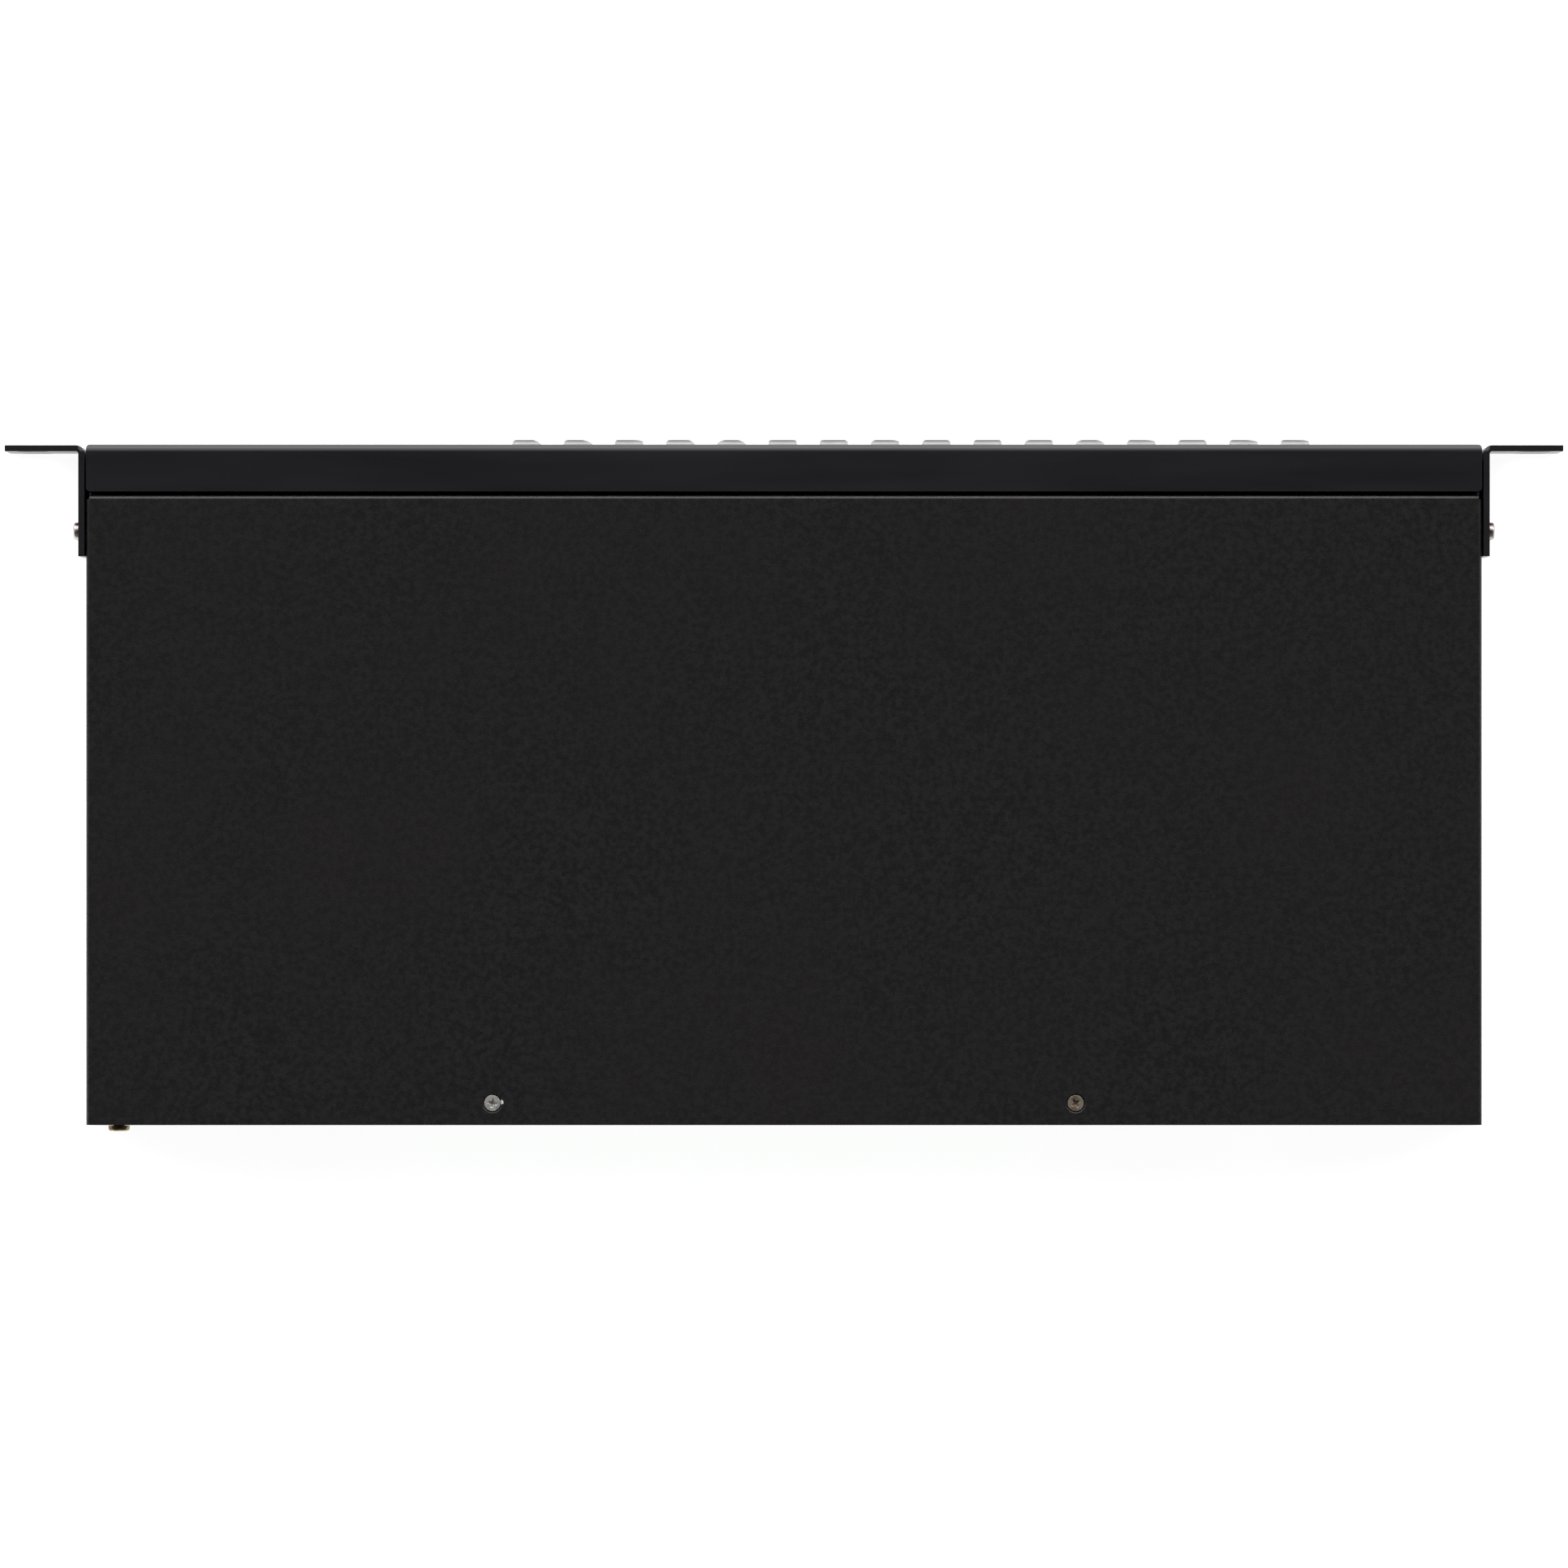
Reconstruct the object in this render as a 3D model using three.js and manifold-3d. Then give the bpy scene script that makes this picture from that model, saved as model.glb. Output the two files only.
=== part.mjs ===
// A one-unit rack-mount audio patch bay: sixteen numbered selector keys over sixteen quarter-inch jacks, a
// display window and a monitor jack on the front; four double-level terminal headers, a network port, a power
// inlet and a ground screw at the back; a folded steel case between two bolted rack ears.
// Frame: +X to the right of someone facing the front, +Y from the front to the back, +Z up, millimetres. The
// origin is the centre of the underside of the whole object's box.
import * as THREE from "three";
import { mergeVertices } from "three/addons/utils/BufferGeometryUtils.js";
import Module from "manifold-3d";

const wasm = await Module();
wasm.setup();

// ---- Driving dimensions ----
const RACK_WIDTH = 482.6; // across both ears: the 19 inch rack standard
const HEIGHT = 43.6; // one rack unit of 44.45, less its clearance
const PANEL_WIDTH = 432.2;
const COVER_WIDTH = 432.1;
const BODY_DEPTH = 210.8; // panel face to the rear edge of the cover
const CHANNELS = 16;
const PITCH = 15.875; // 0.625 inch from one channel's column to the next
const CHANNELS_X = -39.3; // middle of the channel columns
const KEY_PROUD = 1.6; // how far a key stands out of the panel

// ---- Fits ----
const SEAT = 0.2; // clearance between pieces that sit face to face
const HOLE_GAP = 0.2; // clearance all round a piece in its hole
const OVERLAP = 0.2; // how far solids that are joined into one run into each other
const CLEAR = 1; // how far a cutting tool runs past the faces it cuts

// ---- Sheet metal ----
const PANEL_SHEET = 1.2;
const COVER_SHEET = 1.0;
const TRAY_SHEET = 1.2;
const EAR_SHEET = 1.9;
const PANEL_BEND = 2.4; // outer bend radii
const COVER_BEND = 1.2;
const TRAY_BEND = 1.6;
const EAR_BEND = 2.6;
const PANEL_CORNER = 1.2; // rounding of the panel's four corners seen from above
const PANEL_RETURN = 14.6; // how deep the panel's folded edges are
const SEAM = 1.25; // open seam between the panel and the cover

// ---- Ground terminal, which sets how far the object reaches behind the cover ----
const REAR_INSET = 0.4; // rear wall inside the cover's rear edge
const WASHER = { radius: 3.1, bore: 2.0, thick: 0.5, teeth: 8, toothLength: 1, toothWidth: 0.9 };
const GROUND = { x: 206.6, z: 21.8, headRadius: 3.35, headHeight: 1.75, shankRadius: 1.7, length: 8 };
const GROUND_PROUD = SEAT + WASHER.thick + SEAT + GROUND.headHeight - REAR_INSET;

// ---- Planes that the pieces are placed from ----
const FRONT = -(BODY_DEPTH + GROUND_PROUD - KEY_PROUD) / 2; // face of the front panel
const PANEL_BACK = FRONT + PANEL_SHEET;
const COVER_FRONT = FRONT + PANEL_RETURN + SEAM;
const BACK_EDGE = FRONT + BODY_DEPTH;
const REAR_WALL = BACK_EDGE - REAR_INSET; // outer face of the rear wall
const REAR_INSIDE = REAR_WALL - TRAY_SHEET;
const TRAY_X = COVER_WIDTH / 2 - COVER_SHEET - SEAT;
const TRAY_TOP = HEIGHT - COVER_SHEET - SEAT;
const TRAY_FRONT = COVER_FRONT;

// ---- Cover and tray features ----
const COVER_FOOT = 0.3; // the cover's sides stop this far above the ground
const LIP = { drop: 4, relief: 1 }; // the cover's turned-down front edge stops short of the sides
const VENT = { count: 14, pitch: 8, width: 3, z: [15, 35], firstY: FRONT + 64 };
const TRAY_FLANGE = 14; // top flange of the rear wall
const TRAY_LIP = 10; // height of the low side walls
const TRAY_TAB = { height: 40, y: [TRAY_FRONT + 2, TRAY_FRONT + 32] }; // tall tabs that the ears screw to
const JOGGLE = { front: FRONT + 2.6, sideGap: 1 }; // raised front strip of the tray, over the panel's fold
const WING = { front: FRONT + 10.5, gap: 0.3, lap: 3 }; // side plates of the tray that back the open seam

// ---- Keys, switches and the board behind them ----
const KEY = { z: 33, width: 8.9, corner: 1.3, edge: 0.5, stem: 3.4, reach: 1.5 };
const KEY_FLANGE = { width: 10.8, thick: 0.8 }; // stops the key behind the panel
const SWITCH = { width: 6.4, height: 4, bore: 3.8, boreDepth: 3.2 };
const PCB = 1.6;
const KEY_BOARD = { front: FRONT + 8.4, x: [-203, 209], z: [21.2, 41.8] };
const SWITCH_FRONT = KEY_BOARD.front - SWITCH.height;
const STANDOFF = { radius: 2.4, bore: 1.2, depth: 5, z: 24.6, endX: 205 };

// ---- Jacks ----
const JACK = { z: 13.6, bore: 3.2, depth: 28, nose: 5, body: 12.4, length: 30, wall: 0.15, sideGap: 0.1 };
const JACKS_PER_STRIP = CHANNELS / 2;
const MONITOR_X = 196;

// ---- Display window and power light ----
const WINDOW = { x: 150, z: 31, width: 92, height: 18, recess: 0.1, flange: 1.4, flangeThick: 1.2 };
const MODULE_MARGIN = 1; // how far the display module reaches past the window all round
const LIGHT = { x: -196, z: 33, radius: 1.5, length: 5.5, collar: 0.8, collarThick: 1 };

// ---- Boards on the floor of the tray ----
const EMBOSS = { top: 5.45, baseRadius: 6.5, topRadius: 4 };
const BOARD_Z = [EMBOSS.top + SEAT, EMBOSS.top + SEAT + PCB];
const PART_Z = BOARD_Z[1] + SEAT; // where parts stand on a board
const MAIN_BOARD = { x: [-192, 192], y: [FRONT + 56, REAR_INSIDE - 0.5] };
const JACK_BOARD = { x: [-172, 208], y: [FRONT + 3.2, FRONT + 47] };
const MAIN_BOARD_FIXINGS = [-180, 180].flatMap((x) => [FRONT + 64, REAR_INSIDE - 40].map((y) => [x, y]));
const JACK_BOARD_FIXINGS = [-162, CHANNELS_X, 150].map((x) => [x, FRONT + 41]);

// ---- Rear connectors ----
const HEADER = { height: 20.4, depth: 13, cavity: 6.8, cavityDepth: 9.5 };
const POLES = { count: 12, pitch: 3.81, end: 1.6 };
const HEADER_WIDTH = POLES.count * POLES.pitch + 2 * POLES.end;
const HEADER_WALL = 1.1; // side wall of a header's cavities
const HEADER_LEVELS = [2.2, 11.4]; // bottom of each level's cavity above the header's foot
const HEADER_XS = [-58, -6, 46, 98];
const DC_INLET = { x: -178, width: 9, height: 11, depth: 14, bore: 3.1, boreDepth: 9, rise: 0.6, pin: 1.0 };
const NETWORK = { x: -146, width: 16, height: 13.4, depth: 21 };
const NETWORK_CAVITY = { width: 11.8, height: 8, depth: 12, rise: 0.8 };
const LATCH = { width: 6, drop: 1.7 }; // notch under the network port's cavity

// ---- Parts on the main board ----
const RELAY = { width: 10.4, depth: 15.6, height: 10.2, firstX: -60 };
const RELAY_ROWS = [FRONT + 118, FRONT + 148];
const CHIP = { width: 17.8, depth: 7.6, height: 2.4, firstX: -63 };
const CHIP_ROW = FRONT + 96;
const CHANNEL_PARTS_PITCH = 22;
const HEATSINK = { x: -150, y: FRONT + 150, width: 30, height: 24, base: 2.4, depth: 14 };
const FIN = { count: 5, pitch: 6.5, thick: 2 };
const CAPACITOR = { xs: [-178, -158], y: FRONT + 122, radius: 8, height: 23.2, edge: 0.6 };

// ---- Ribbon cable and its sockets ----
const RIBBON = { x: CHANNELS_X, width: 12.7, thick: 0.9, steps: 14 };
const RIBBON_Y = [FRONT + 18.8, FRONT + 70];
const RIBBON_Z = [33, 13.4];
const SOCKET = { width: 17, height: 6.4, depth: 8.5, above: 3.4 };

// ---- Rack ears ----
const EAR = { front: FRONT + 0.3, inside: PANEL_WIDTH / 2 + 0.5, back: FRONT + 34.7 };
const RACK_SLOT = { x: 232.55, rise: 31.75, width: 10.2, height: 6.8 };

// ---- Fasteners ----
const PAN_SCREW = { headRadius: 2.7, headHeight: 1.9, shankRadius: 1.4, length: 8 };
const BOARD_SCREW = { ...PAN_SCREW, length: 5.5 };
const FLAT_SCREW = { headRadius: 2.5, rim: 0.2, shankRadius: 1.4, length: 5 };
const SCREW_HOLE = 1.75;
const COUNTERSINK = 3.15; // radius at the surface
const HEAD_GAP = 0.1; // clearance under a pan head
const SUNK = 0.05; // how far a flat head sits below the sheet
const EAR_SCREW_Y = FRONT + 26.8;
const EAR_SCREW_ZS = { lower: 12, upper: 31.6 };
const COVER_SCREW = { x: 90.3, y: BACK_EDGE - 6.8 };
const PANEL_SCREW = { xs: [-150, 0, 150], y: FRONT + 9 };

// ---- Repeats ----
const QUARTER = Math.PI / 2;
const sides = [["left", -1], ["right", 1]];
const count = (length) => [...Array(length).keys()];
const channels = count(CHANNELS);
const channelX = (channel) => CHANNELS_X + (channel - (CHANNELS - 1) / 2) * PITCH;
const KEY_BOARD_FIXINGS = [channelX(0.5), channelX(7.5), channelX(14.5), STANDOFF.endX];
const middle = (value, size) => [value - size / 2, value + size / 2];

// ---- Making and cutting solids ----

// A closed geometry as a solid that can be cut and joined.
function solid(geometry) {
  const bare = geometry.index ? geometry.toNonIndexed() : geometry;
  bare.deleteAttribute("normal");
  bare.deleteAttribute("uv");
  const merged = mergeVertices(bare, 1e-4);
  return new wasm.Manifold(
    new wasm.Mesh({
      numProp: 3,
      vertProperties: merged.attributes.position.array,
      triVerts: new Uint32Array(merged.index.array),
    }),
  );
}

const join = (pieces) => pieces.reduce((whole, piece) => whole.add(piece));
const cut = (body, tools) => tools.reduce((whole, tool) => whole.subtract(tool), body);

function box([x0, x1], [y0, y1], [z0, z1]) {
  const geometry = new THREE.BoxGeometry(x1 - x0, y1 - y0, z1 - z0);
  return solid(geometry.translate((x0 + x1) / 2, (y0 + y1) / 2, (z0 + z1) / 2));
}

// A box given by its middle in x and z and its sizes there.
const block = (x, z, width, height, ys) => box(middle(x, width), ys, middle(z, height));

// A cylinder along y, x or z.
function rod(axis, radius, [from, to], [u, v], facets = 12) {
  const geometry = new THREE.CylinderGeometry(radius, radius, to - from, facets);
  const centre = (from + to) / 2;
  if (axis === "y") return solid(geometry.translate(u, centre, v));
  if (axis === "x") return solid(geometry.rotateZ(QUARTER).translate(centre, u, v));
  return solid(geometry.rotateX(QUARTER).translate(u, v, centre));
}

const screwHole = (axis, span, place) => rod(axis, SCREW_HOLE, span, place, 8);

const X = new THREE.Vector3(1, 0, 0);
const Y = new THREE.Vector3(0, 1, 0);
const Z = new THREE.Vector3(0, 0, 1);

// A flat outline extruded along an axis. It is drawn in (y, z) for x, in (x, z) for y and in (x, y) for z.
function prism(shape, axis, [from, to], curveSegments = 2) {
  const settings = { depth: to - from, bevelEnabled: false, curveSegments };
  const geometry = new THREE.ExtrudeGeometry(shape, settings);
  if (axis === "x") {
    const turn = new THREE.Matrix4().makeBasis(Y, Z, X);
    return solid(geometry.applyMatrix4(turn).translate(from, 0, 0));
  }
  if (axis === "y") {
    const turn = new THREE.Matrix4().makeBasis(X, Z, Y.clone().negate());
    return solid(geometry.applyMatrix4(turn).translate(0, to, 0));
  }
  return solid(geometry.translate(0, 0, from));
}

// A closed outline that starts with an arc. Each step is a corner [u, v] or an arc [u, v, radius, from, to]
// about (u, v), its angles in quarter turns.
function outline(steps) {
  const shape = new THREE.Shape();
  for (const [u, v, radius, from, to] of steps) {
    if (radius) shape.absarc(u, v, radius, from * QUARTER, to * QUARTER, to < from);
    else shape.lineTo(u, v);
  }
  shape.closePath();
  return shape;
}

// A rectangle with round corners.
const roundedRectangle = ([u0, u1], [v0, v1], radius) =>
  outline([
    [u1 - radius, v0 + radius, radius, -1, 0],
    [u1 - radius, v1 - radius, radius, 0, 1],
    [u0 + radius, v1 - radius, radius, 1, 2],
    [u0 + radius, v0 + radius, radius, 2, 3],
  ]);

const roundedSquare = (x, z, width, radius) =>
  roundedRectangle(middle(x, width), middle(z, width), radius);

// A solid of revolution about z, from (radius, height) pairs that start and end on the axis.
function turned(profile, facets = 12) {
  const points = profile.map(([radius, height]) => new THREE.Vector2(radius, height));
  return solid(new THREE.LatheGeometry(points, facets).rotateX(QUARTER));
}

// The tool that opens a countersunk hole down from height 0.
const countersink = (depth) =>
  turned([
    [0, -depth - CLEAR],
    [SCREW_HOLE, -depth - CLEAR],
    [SCREW_HOLE, SCREW_HOLE - COUNTERSINK],
    [COUNTERSINK, 0],
    [COUNTERSINK, CLEAR],
    [0, CLEAR],
  ]);

// The cross recess in a screw's head: two crossed blades about height 0.
function crossRecess(reach, depth) {
  const blade = reach * 0.42;
  return [0, QUARTER].map((turn) =>
    solid(new THREE.BoxGeometry(2 * reach, blade, 2 * depth).rotateZ(turn)),
  );
}

// A pan-head screw: the head's seat is at height 0 and its shank points down.
function panScrew({ headRadius, headHeight, shankRadius, length }) {
  const body = turned([
    [0, -length],
    [shankRadius, -length],
    [shankRadius, 0],
    [headRadius, 0],
    [headRadius, headHeight * 0.5],
    [headRadius * 0.7, headHeight],
    [0, headHeight],
  ]);
  const recess = crossRecess(headRadius * 0.56, headHeight * 0.6);
  return cut(body, recess.map((blade) => blade.translate([0, 0, headHeight])));
}

// A countersunk screw: the top of its head is at height 0 and its shank points down.
function flatScrew({ headRadius, rim, shankRadius, length }) {
  const body = turned([
    [0, -length],
    [shankRadius, -length],
    [shankRadius, shankRadius - headRadius - rim],
    [headRadius, -rim],
    [headRadius, 0],
    [0, 0],
  ]);
  return cut(body, crossRecess(headRadius * 0.6, 0.8));
}

// ---- Materials ----
const paint = (color, roughness, metalness = 0) =>
  new THREE.MeshStandardMaterial({ color, roughness, metalness });
const powderCoat = paint(0x232223, 0.55);
const satinPaint = paint(0x242325, 0.42);
const steel = paint(0xb9b4ac, 0.3, 1);
const brass = paint(0xa58a52, 0.3, 1);
const silicone = paint(0xd6d6d4, 0.45);
const boardGreen = paint(0x1d4a2c, 0.5);
const blackPlastic = paint(0x17171a, 0.5);
const greenPlastic = paint(0x2f7d3c, 0.5);
const windowPlastic = paint(0x08090b, 0.08);
const aluminium = paint(0xa9abad, 0.35, 1);
const ribbonGrey = paint(0x8f9194, 0.6);

// ---- Scene graph ----
const HERE = [0, 0, 0];
const UPRIGHT = [0, 0, 0];

function add(group, name, body, material, position = HERE, rotation = UPRIGHT) {
  const made = body.getMesh();
  const geometry = new THREE.BufferGeometry();
  geometry.setAttribute("position", new THREE.BufferAttribute(made.vertProperties, made.numProp));
  geometry.setIndex(new THREE.BufferAttribute(made.triVerts, 1));
  const mesh = new THREE.Mesh(geometry, material);
  mesh.name = name;
  mesh.position.set(...position);
  mesh.rotation.set(...rotation);
  group.add(mesh);
}

// ---- Front panel: a shallow folded pan with the key, jack, window and light openings ----
function frontPanel() {
  const inner = PANEL_BEND - PANEL_SHEET;
  const [low, high] = [PANEL_BEND, HEIGHT - PANEL_BEND];
  const [bend, back] = [FRONT + PANEL_BEND, FRONT + PANEL_RETURN];
  const half = PANEL_WIDTH / 2;
  const outside = [
    [bend, high, PANEL_BEND, 1, 2],
    [bend, low, PANEL_BEND, 2, 3],
    [back, 0],
  ];
  const section = outline([
    ...outside,
    [back, PANEL_SHEET],
    [bend, low, inner, 3, 2],
    [bend, high, inner, 2, 1],
    [back, HEIGHT - PANEL_SHEET],
    [back, HEIGHT],
  ]);
  const folded = prism(section, "x", [-half, half], 4);
  const end = outline([...outside, [back, HEIGHT]]);
  const ends = [[-half, PANEL_SHEET - half], [half - PANEL_SHEET, half]].map((xs) => prism(end, "x", xs, 4));
  const plan = roundedRectangle([-half, half], [FRONT, back], PANEL_CORNER);
  const pan = join([folded, ...ends]).intersect(prism(plan, "z", [-CLEAR, HEIGHT + CLEAR]));

  const standoffEnd = KEY_BOARD.front - SEAT;
  const standoffs = KEY_BOARD_FIXINGS.map((x) =>
    cut(rod("y", STANDOFF.radius, [PANEL_BACK - OVERLAP, standoffEnd], [x, STANDOFF.z], 8), [
      rod("y", STANDOFF.bore, [standoffEnd - STANDOFF.depth, standoffEnd + CLEAR], [x, STANDOFF.z], 8),
    ]),
  );

  const through = [FRONT - CLEAR, PANEL_BACK + CLEAR];
  const keyHole = KEY.width + 2 * HOLE_GAP;
  const jackHole = (x) => rod("y", JACK.nose + HOLE_GAP, through, [x, JACK.z], 24);
  const holes = channels.flatMap((channel) => [
    prism(roundedSquare(channelX(channel), KEY.z, keyHole, KEY.corner + HOLE_GAP), "y", through, 1),
    jackHole(channelX(channel)),
  ]);
  holes.push(jackHole(MONITOR_X));
  holes.push(block(WINDOW.x, WINDOW.z, WINDOW.width + 2 * HOLE_GAP, WINDOW.height + 2 * HOLE_GAP, through));
  holes.push(rod("y", LIGHT.radius + HOLE_GAP, through, [LIGHT.x, LIGHT.z]));
  const sinks = PANEL_SCREW.xs.map((x) =>
    countersink(PANEL_SHEET).rotate([180, 0, 0]).translate([x, PANEL_SCREW.y, 0]),
  );
  return cut(join([pan, ...standoffs]), [...holes, ...sinks]);
}

// ---- Cover: top and two sides in one folded sheet, with a turned-down front lip and side vents ----
function topCover() {
  const half = COVER_WIDTH / 2;
  const inner = COVER_BEND - COVER_SHEET;
  const shoulder = HEIGHT - COVER_BEND;
  const bendX = half - COVER_BEND;
  const section = outline([
    [bendX, shoulder, COVER_BEND, 0, 1],
    [-bendX, shoulder, COVER_BEND, 1, 2],
    [-half, COVER_FOOT],
    [COVER_SHEET - half, COVER_FOOT],
    [-bendX, shoulder, inner, 2, 1],
    [bendX, shoulder, inner, 1, 0],
    [half - COVER_SHEET, COVER_FOOT],
    [half, COVER_FOOT],
  ]);
  const bendY = COVER_FRONT + COVER_BEND;
  const folded = prism(section, "y", [bendY, BACK_EDGE]);
  const lip = outline([
    [bendY, shoulder, COVER_BEND, 1, 2],
    [COVER_FRONT, HEIGHT - LIP.drop],
    [COVER_FRONT + COVER_SHEET, HEIGHT - LIP.drop],
    [bendY, shoulder, inner, 2, 1],
    [bendY + OVERLAP, HEIGHT - COVER_SHEET],
    [bendY + OVERLAP, HEIGHT],
  ]);
  const frontLip = prism(lip, "x", [LIP.relief - half, half - LIP.relief], 4);

  const vents = sides.flatMap(([, sign]) =>
    count(VENT.count).map((n) => {
      const y = VENT.firstY + n * VENT.pitch;
      return box(middle(sign * half, 4 * COVER_SHEET), [y, y + VENT.width], VENT.z);
    }),
  );
  const screwSinks = sides.map(([, sign]) =>
    countersink(COVER_SHEET).translate([sign * COVER_SCREW.x, COVER_SCREW.y, HEIGHT]),
  );
  const earHoles = Object.values(EAR_SCREW_ZS).map((z) =>
    screwHole("x", [-half - CLEAR, half + CLEAR], [EAR_SCREW_Y, z]),
  );
  return cut(join([folded, frontLip]), [...vents, ...screwSinks, ...earHoles]);
}

// Each emboss is pressed up out of the tray's floor, so it is hollow from below.
function embosses() {
  const facets = 12;
  const { top, baseRadius, topRadius } = EMBOSS;
  const slope = (baseRadius - topRadius) / (top - TRAY_SHEET);
  const outside = turned([
    [0, TRAY_SHEET / 2],
    [baseRadius, TRAY_SHEET / 2],
    [baseRadius, TRAY_SHEET],
    [topRadius, top],
    [0, top],
  ], facets);
  const hollowRadius = baseRadius - TRAY_SHEET;
  const hollowTop = top - TRAY_SHEET;
  const inside = turned([
    [0, -CLEAR],
    [hollowRadius, -CLEAR],
    [hollowRadius, 0],
    [hollowRadius - slope * hollowTop, hollowTop],
    [0, hollowTop],
  ], facets);
  const places = [...MAIN_BOARD_FIXINGS, ...JACK_BOARD_FIXINGS];
  return {
    bosses: places.map(([x, y]) => outside.translate([x, y, 0])),
    hollows: places.flatMap(([x, y]) => [
      inside.translate([x, y, 0]),
      screwHole("z", [hollowTop - CLEAR, top + CLEAR], [x, y]),
    ]),
  };
}

// ---- Tray: floor, rear wall with its top flange, side lips, a joggled front strip and the embosses ----
function chassisTray() {
  const inner = TRAY_BEND - TRAY_SHEET;
  const bendY = REAR_WALL - TRAY_BEND;
  const flangeFront = REAR_WALL - TRAY_FLANGE;
  const section = outline([
    [bendY, TRAY_BEND, TRAY_BEND, -1, 0],
    [bendY, TRAY_TOP - TRAY_BEND, TRAY_BEND, 0, 1],
    [flangeFront, TRAY_TOP],
    [flangeFront, TRAY_TOP - TRAY_SHEET],
    [bendY, TRAY_TOP - TRAY_BEND, inner, 1, 0],
    [bendY, TRAY_BEND, inner, 0, -1],
    [TRAY_FRONT, TRAY_SHEET],
    [TRAY_FRONT, 0],
  ]);
  const folded = prism(section, "x", [-TRAY_X, TRAY_X]);

  const joggleX = PANEL_WIDTH / 2 - PANEL_SHEET - JOGGLE.sideGap;
  const joggleZ = [PANEL_SHEET + SEAT, PANEL_SHEET + SEAT + TRAY_SHEET];
  const stepBack = TRAY_FRONT + TRAY_SHEET;
  const strip = box([-joggleX, joggleX], [JOGGLE.front, stepBack], joggleZ);
  const step = box([-joggleX, joggleX], [TRAY_FRONT, stepBack], [0, joggleZ[1]]);
  const sillY = [FRONT + PANEL_RETURN + SEAT, COVER_FRONT + COVER_BEND - SEAT];
  const sill = box(middle(0, PANEL_WIDTH), sillY, [0, TRAY_SHEET]);
  const wingX = PANEL_WIDTH / 2 - PANEL_SHEET - WING.gap - TRAY_SHEET / 2;
  const wingTop = HEIGHT - LIP.drop - SEAT;
  const walls = sides.flatMap(([, sign]) => {
    const xs = middle(sign * (TRAY_X - TRAY_SHEET / 2), TRAY_SHEET);
    return [
      box(xs, [TRAY_FRONT, bendY - HOLE_GAP], [0, TRAY_LIP]),
      box(xs, TRAY_TAB.y, [0, TRAY_TAB.height]),
      box(middle(sign * wingX, TRAY_SHEET), [WING.front, TRAY_FRONT + WING.lap], [joggleZ[0], wingTop]),
    ];
  });

  const through = [REAR_INSIDE - CLEAR / 2, REAR_WALL + CLEAR];
  const rearHole = (x, width, height) =>
    block(x, PART_Z + height / 2, width + 2 * HOLE_GAP, height + 2 * HOLE_GAP, through);
  const rearHoles = [
    ...HEADER_XS.map((x) => rearHole(x, HEADER_WIDTH, HEADER.height)),
    rearHole(DC_INLET.x, DC_INLET.width, DC_INLET.height),
    rearHole(NETWORK.x, NETWORK.width, NETWORK.height),
    rod("y", GROUND.shankRadius + HOLE_GAP, through, [GROUND.x, GROUND.z]),
  ];
  const screwHoles = [
    ...sides.map(([, sign]) => [sign * COVER_SCREW.x, COVER_SCREW.y]).map((place) =>
      screwHole("z", [TRAY_TOP - TRAY_SHEET - CLEAR, TRAY_TOP + CLEAR], place),
    ),
    ...PANEL_SCREW.xs.map((x) => screwHole("z", [SEAT, joggleZ[1] + CLEAR], [x, PANEL_SCREW.y])),
    ...Object.values(EAR_SCREW_ZS).map((z) =>
      screwHole("x", [-TRAY_X - CLEAR, TRAY_X + CLEAR], [EAR_SCREW_Y, z]),
    ),
  ];
  const { bosses, hollows } = embosses();
  const body = join([folded, strip, step, sill, ...walls, ...bosses]);
  return cut(body, [...hollows, ...rearHoles, ...screwHoles]);
}

// ---- Rack ear: an L of heavier sheet with two rack slots in its front and two screw holes in its side ----
function rackEar(sign) {
  const corner = EAR.inside + EAR_BEND;
  const bendY = EAR.front + EAR_BEND;
  const faceBack = EAR.front + EAR_SHEET;
  const plan = outline([
    [corner, bendY, EAR_BEND, 2, 3],
    [RACK_WIDTH / 2, EAR.front],
    [RACK_WIDTH / 2, faceBack],
    [corner, bendY, EAR_BEND - EAR_SHEET, 3, 2],
    [EAR.inside + EAR_SHEET, EAR.back],
    [EAR.inside, EAR.back],
  ]);
  const slotEnd = RACK_SLOT.height / 2 - 0.01; // a hair under half, so each end keeps a short flat
  const slots = middle(HEIGHT / 2, RACK_SLOT.rise).map((z) => {
    const zs = middle(z, RACK_SLOT.height);
    const slot = roundedRectangle(middle(RACK_SLOT.x, RACK_SLOT.width), zs, slotEnd);
    return prism(slot, "y", [EAR.front - CLEAR, faceBack + CLEAR], 4);
  });
  const screwHoles = Object.values(EAR_SCREW_ZS).map((z) =>
    screwHole("x", [EAR.inside - CLEAR, EAR.inside + EAR_SHEET + CLEAR], [EAR_SCREW_Y, z]),
  );
  const right = cut(prism(plan, "z", [0, HEIGHT], 4), [...slots, ...screwHoles]);
  return sign > 0 ? right : right.mirror([1, 0, 0]);
}

// ---- Keycap: a rounded square cap, a flange that stops it and a stem that works the switch ----
function keycap() {
  const { width, corner, edge, stem, reach } = KEY;
  const flangeFront = PANEL_SHEET + SEAT;
  const flangeBack = flangeFront + KEY_FLANGE.thick;
  const crownBack = edge - KEY_PROUD;
  return join([
    prism(roundedSquare(0, 0, width, corner), "y", [crownBack, flangeFront], 1),
    prism(roundedSquare(0, 0, width - 2 * edge, corner), "y", [-KEY_PROUD, crownBack], 1),
    block(0, 0, KEY_FLANGE.width, KEY_FLANGE.width, [flangeFront, flangeBack]),
    block(0, 0, stem, stem, [flangeBack, SWITCH_FRONT - FRONT + reach]),
  ]);
}

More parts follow.
